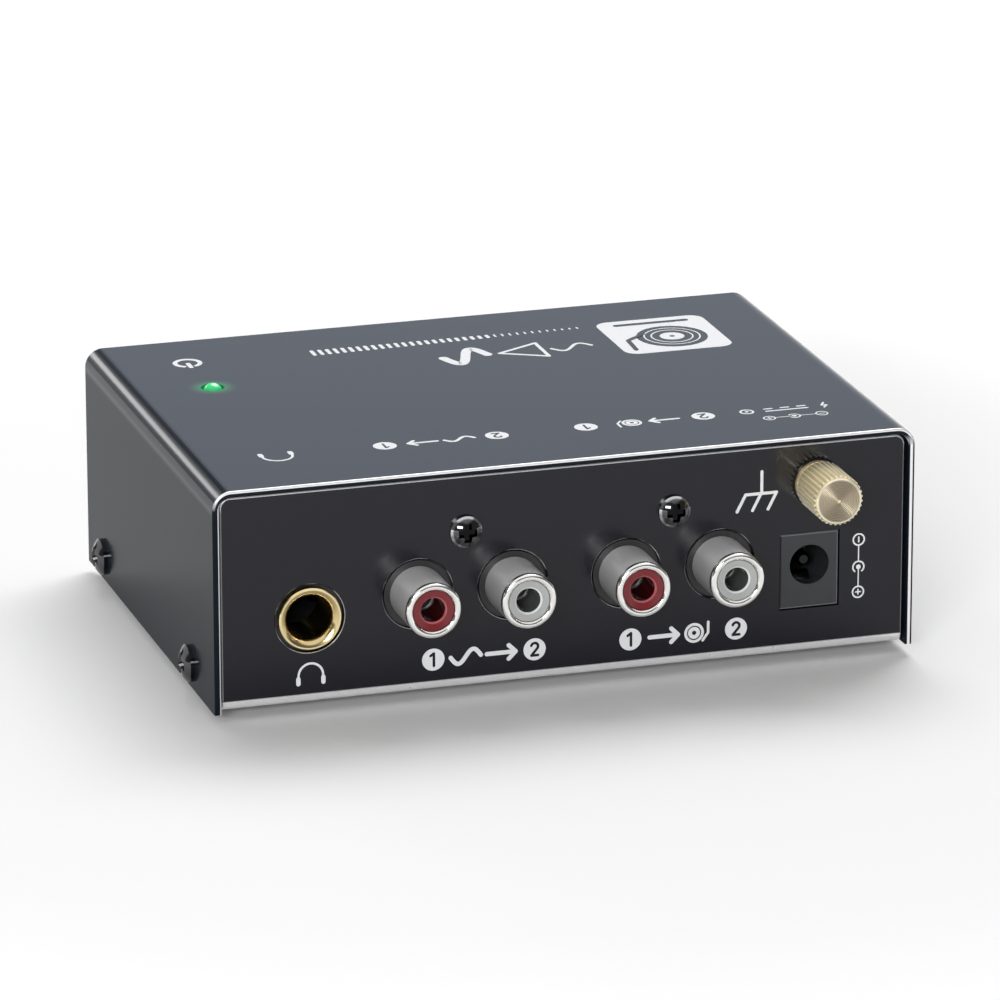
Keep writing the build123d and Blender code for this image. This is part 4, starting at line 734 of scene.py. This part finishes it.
# On the panel, under and beside the sockets
panelLook = dict(row=6.6, badge=1.7, half=0.33)  # the labels' height, and the ink's half width
panelY = trayLow.y
panelInk = Printing("panelPrint", (1, 0, 0), (0, 0, 1))
panelCuts = Printing("panelDigits", (1, 0, 0), (0, 0, 1))
for x, number in ((-20.34, 1), (-4.89, 2), (9.84, 1), (26.21, 2)):
    panelInk.at(x, panelY, panelLook["row"]).dot(0, 0, panelLook["badge"])
    digit(panelCuts.at(x, panelY, panelLook["row"]), number, 0.2)
panelInk.at(-12.6, panelY, panelLook["row"])
wave(panelInk, -2.8, 4.6, 1.05, panelLook["half"])
arrow(panelInk, 2.6, 4.4, panelLook["half"])
panelInk.at(18.0, panelY, panelLook["row"])
arrow(panelInk, -3.0, 4.4, panelLook["half"])
record(panelInk, 1.7, 1.5, 0.2)
headphones(panelInk.at(-38.85, panelY, 6.1))
polarity(panelInk.at(45.25, panelY, 14.3), 4.25, -3.9)

# Chassis ground: a stem on a bar with three slanted feet
groundLook = dict(stem=2.5, top=3.35, right=4.8, foot=-2.5, lean=-1.3, half=0.23)
panelInk.at(27.5, panelY, 27.15)
panelInk.stroke([(groundLook["stem"], groundLook["top"]), (groundLook["stem"], 0)], groundLook["half"])
panelInk.stroke([(0, 0), (groundLook["right"], 0)], groundLook["half"])
for x in np.linspace(0, groundLook["right"], 3):
    panelInk.stroke([(x, 0), (x + groundLook["lean"], groundLook["foot"])], groundLook["half"])
panelInk.done(inkFinish.material, "case")
panelCuts.done(trayFinish.material, "case")

# On the cover's top, read from the far side
topLook = dict(row=-19.1, badge=1.75, half=0.28)
topZ = coverHigh.z
topInk = Printing("topPrint", (-1, 0, 0), (0, -1, 0))
topCuts = Printing("topDigits", (-1, 0, 0), (0, -1, 0))
for x, number in ((-23.6, 1), (-6.5, 2), (7.2, 1), (25.4, 2)):
    topInk.at(x, topLook["row"], topZ).dot(0, 0, topLook["badge"])
    digit(topCuts.at(x, topLook["row"], topZ), number, 0.17)
topInk.at(-15.05, topLook["row"], topZ)
wave(topInk, -2.8, 4.6, 0.9, topLook["half"])
arrow(topInk, 2.8, 4.4, topLook["half"])
topInk.at(16.3, topLook["row"], topZ)
arrow(topInk, -3.0, 4.4, topLook["half"])
record(topInk, 2.0, 1.5, 0.17)
headphones(topInk.at(-39.9, -19.2, topZ), 1.2)
polarity(topInk.at(38.3, -23.0, topZ, 90), 4.3, -3.9)

# Direct current: a line over three dashes, between a bolt and a plug seen from its end
topInk.at(38.3, topLook["row"], topZ)
topInk.stroke([(-3.2, 0.55), (3.2, 0.55)], 0.2)
for x in (-2.6, 0, 2.6):
    topInk.stroke([(x - 0.55, -0.55), (x + 0.55, -0.55)], 0.2)
topInk.lines([(-5.7, 1.1), (-6.4, 0.1), (-5.6, 0.1), (-6.3, -1.1)], 0.17)
topInk.ring(6.1, 0, 0.95, 0.17)
topInk.dot(6.1, 0, 0.3)

# Power: a bar in an open circle, behind the light
topInk.at(-40.4, 29.6, topZ)
topInk.stroke(arc(0, -0.2, 1.9, 120, 420), 0.36)
topInk.stroke([(0, 0.1), (0, 2.1)], 0.36)

# A large badge: a record under its arm, cut out of a plate
badgeLook = dict(x=33.25, y=22.7, width=17.3, height=17.4, corner=2.2, disc=5.5, label=1.9, hole=0.4)
discX, discY = -0.9, 1.3
topInk.at(badgeLook["x"], badgeLook["y"], topZ)
topInk.plate(badgeLook["width"], badgeLook["height"], badgeLook["corner"])
topCuts.at(badgeLook["x"], badgeLook["y"], topZ).dot(discX, discY, badgeLook["disc"], 1)
topCuts.stroke([(-5.6, -6.5), (5.6, -6.5)], 0.5, 1)
for radius in (4.3, 3.2):
    topInk.ring(discX, discY, radius, 0.12, 2)
topInk.dot(discX, discY, badgeLook["label"], 2)
topCuts.dot(discX, discY, badgeLook["hole"], 3)
topCuts.lines([(6.6, 6.6), (6.3, 1.6), (3.0, -1.0)], 0.34, 4)

# Amplification: a small wave, an amplifier's triangle and a large wave, over a level ramp
topInk.at(9.4, 20.6, topZ)
wave(topInk, -8.3, 6.4, 1.5, 0.28)
topInk.lines([(-3.6, 3.6), (3.2, 0), (-3.6, -3.6), (-3.6, 3.6)], 0.3)
wave(topInk, 8.6, 7.0, 3.5, 0.75)
rampLook = dict(reach=21.2, count=36, foot=-0.95, first=0.5, growth=1.7, thinOnes=12, thin=0.15, thick=0.3)
topInk.at(0.4, 29.3, topZ)
for step, x in enumerate(np.linspace(-rampLook["reach"], rampLook["reach"], rampLook["count"])):
    half = rampLook["thin"] if step < rampLook["thinOnes"] else rampLook["thick"]
    tall = rampLook["first"] + rampLook["growth"] * step / rampLook["count"]
    topInk.stroke([(x, rampLook["foot"]), (x, rampLook["foot"] + tall)], half)
topInk.done(inkFinish.material, "case")
topCuts.done(coverFinish.material, "case")
print("printed marks ready")
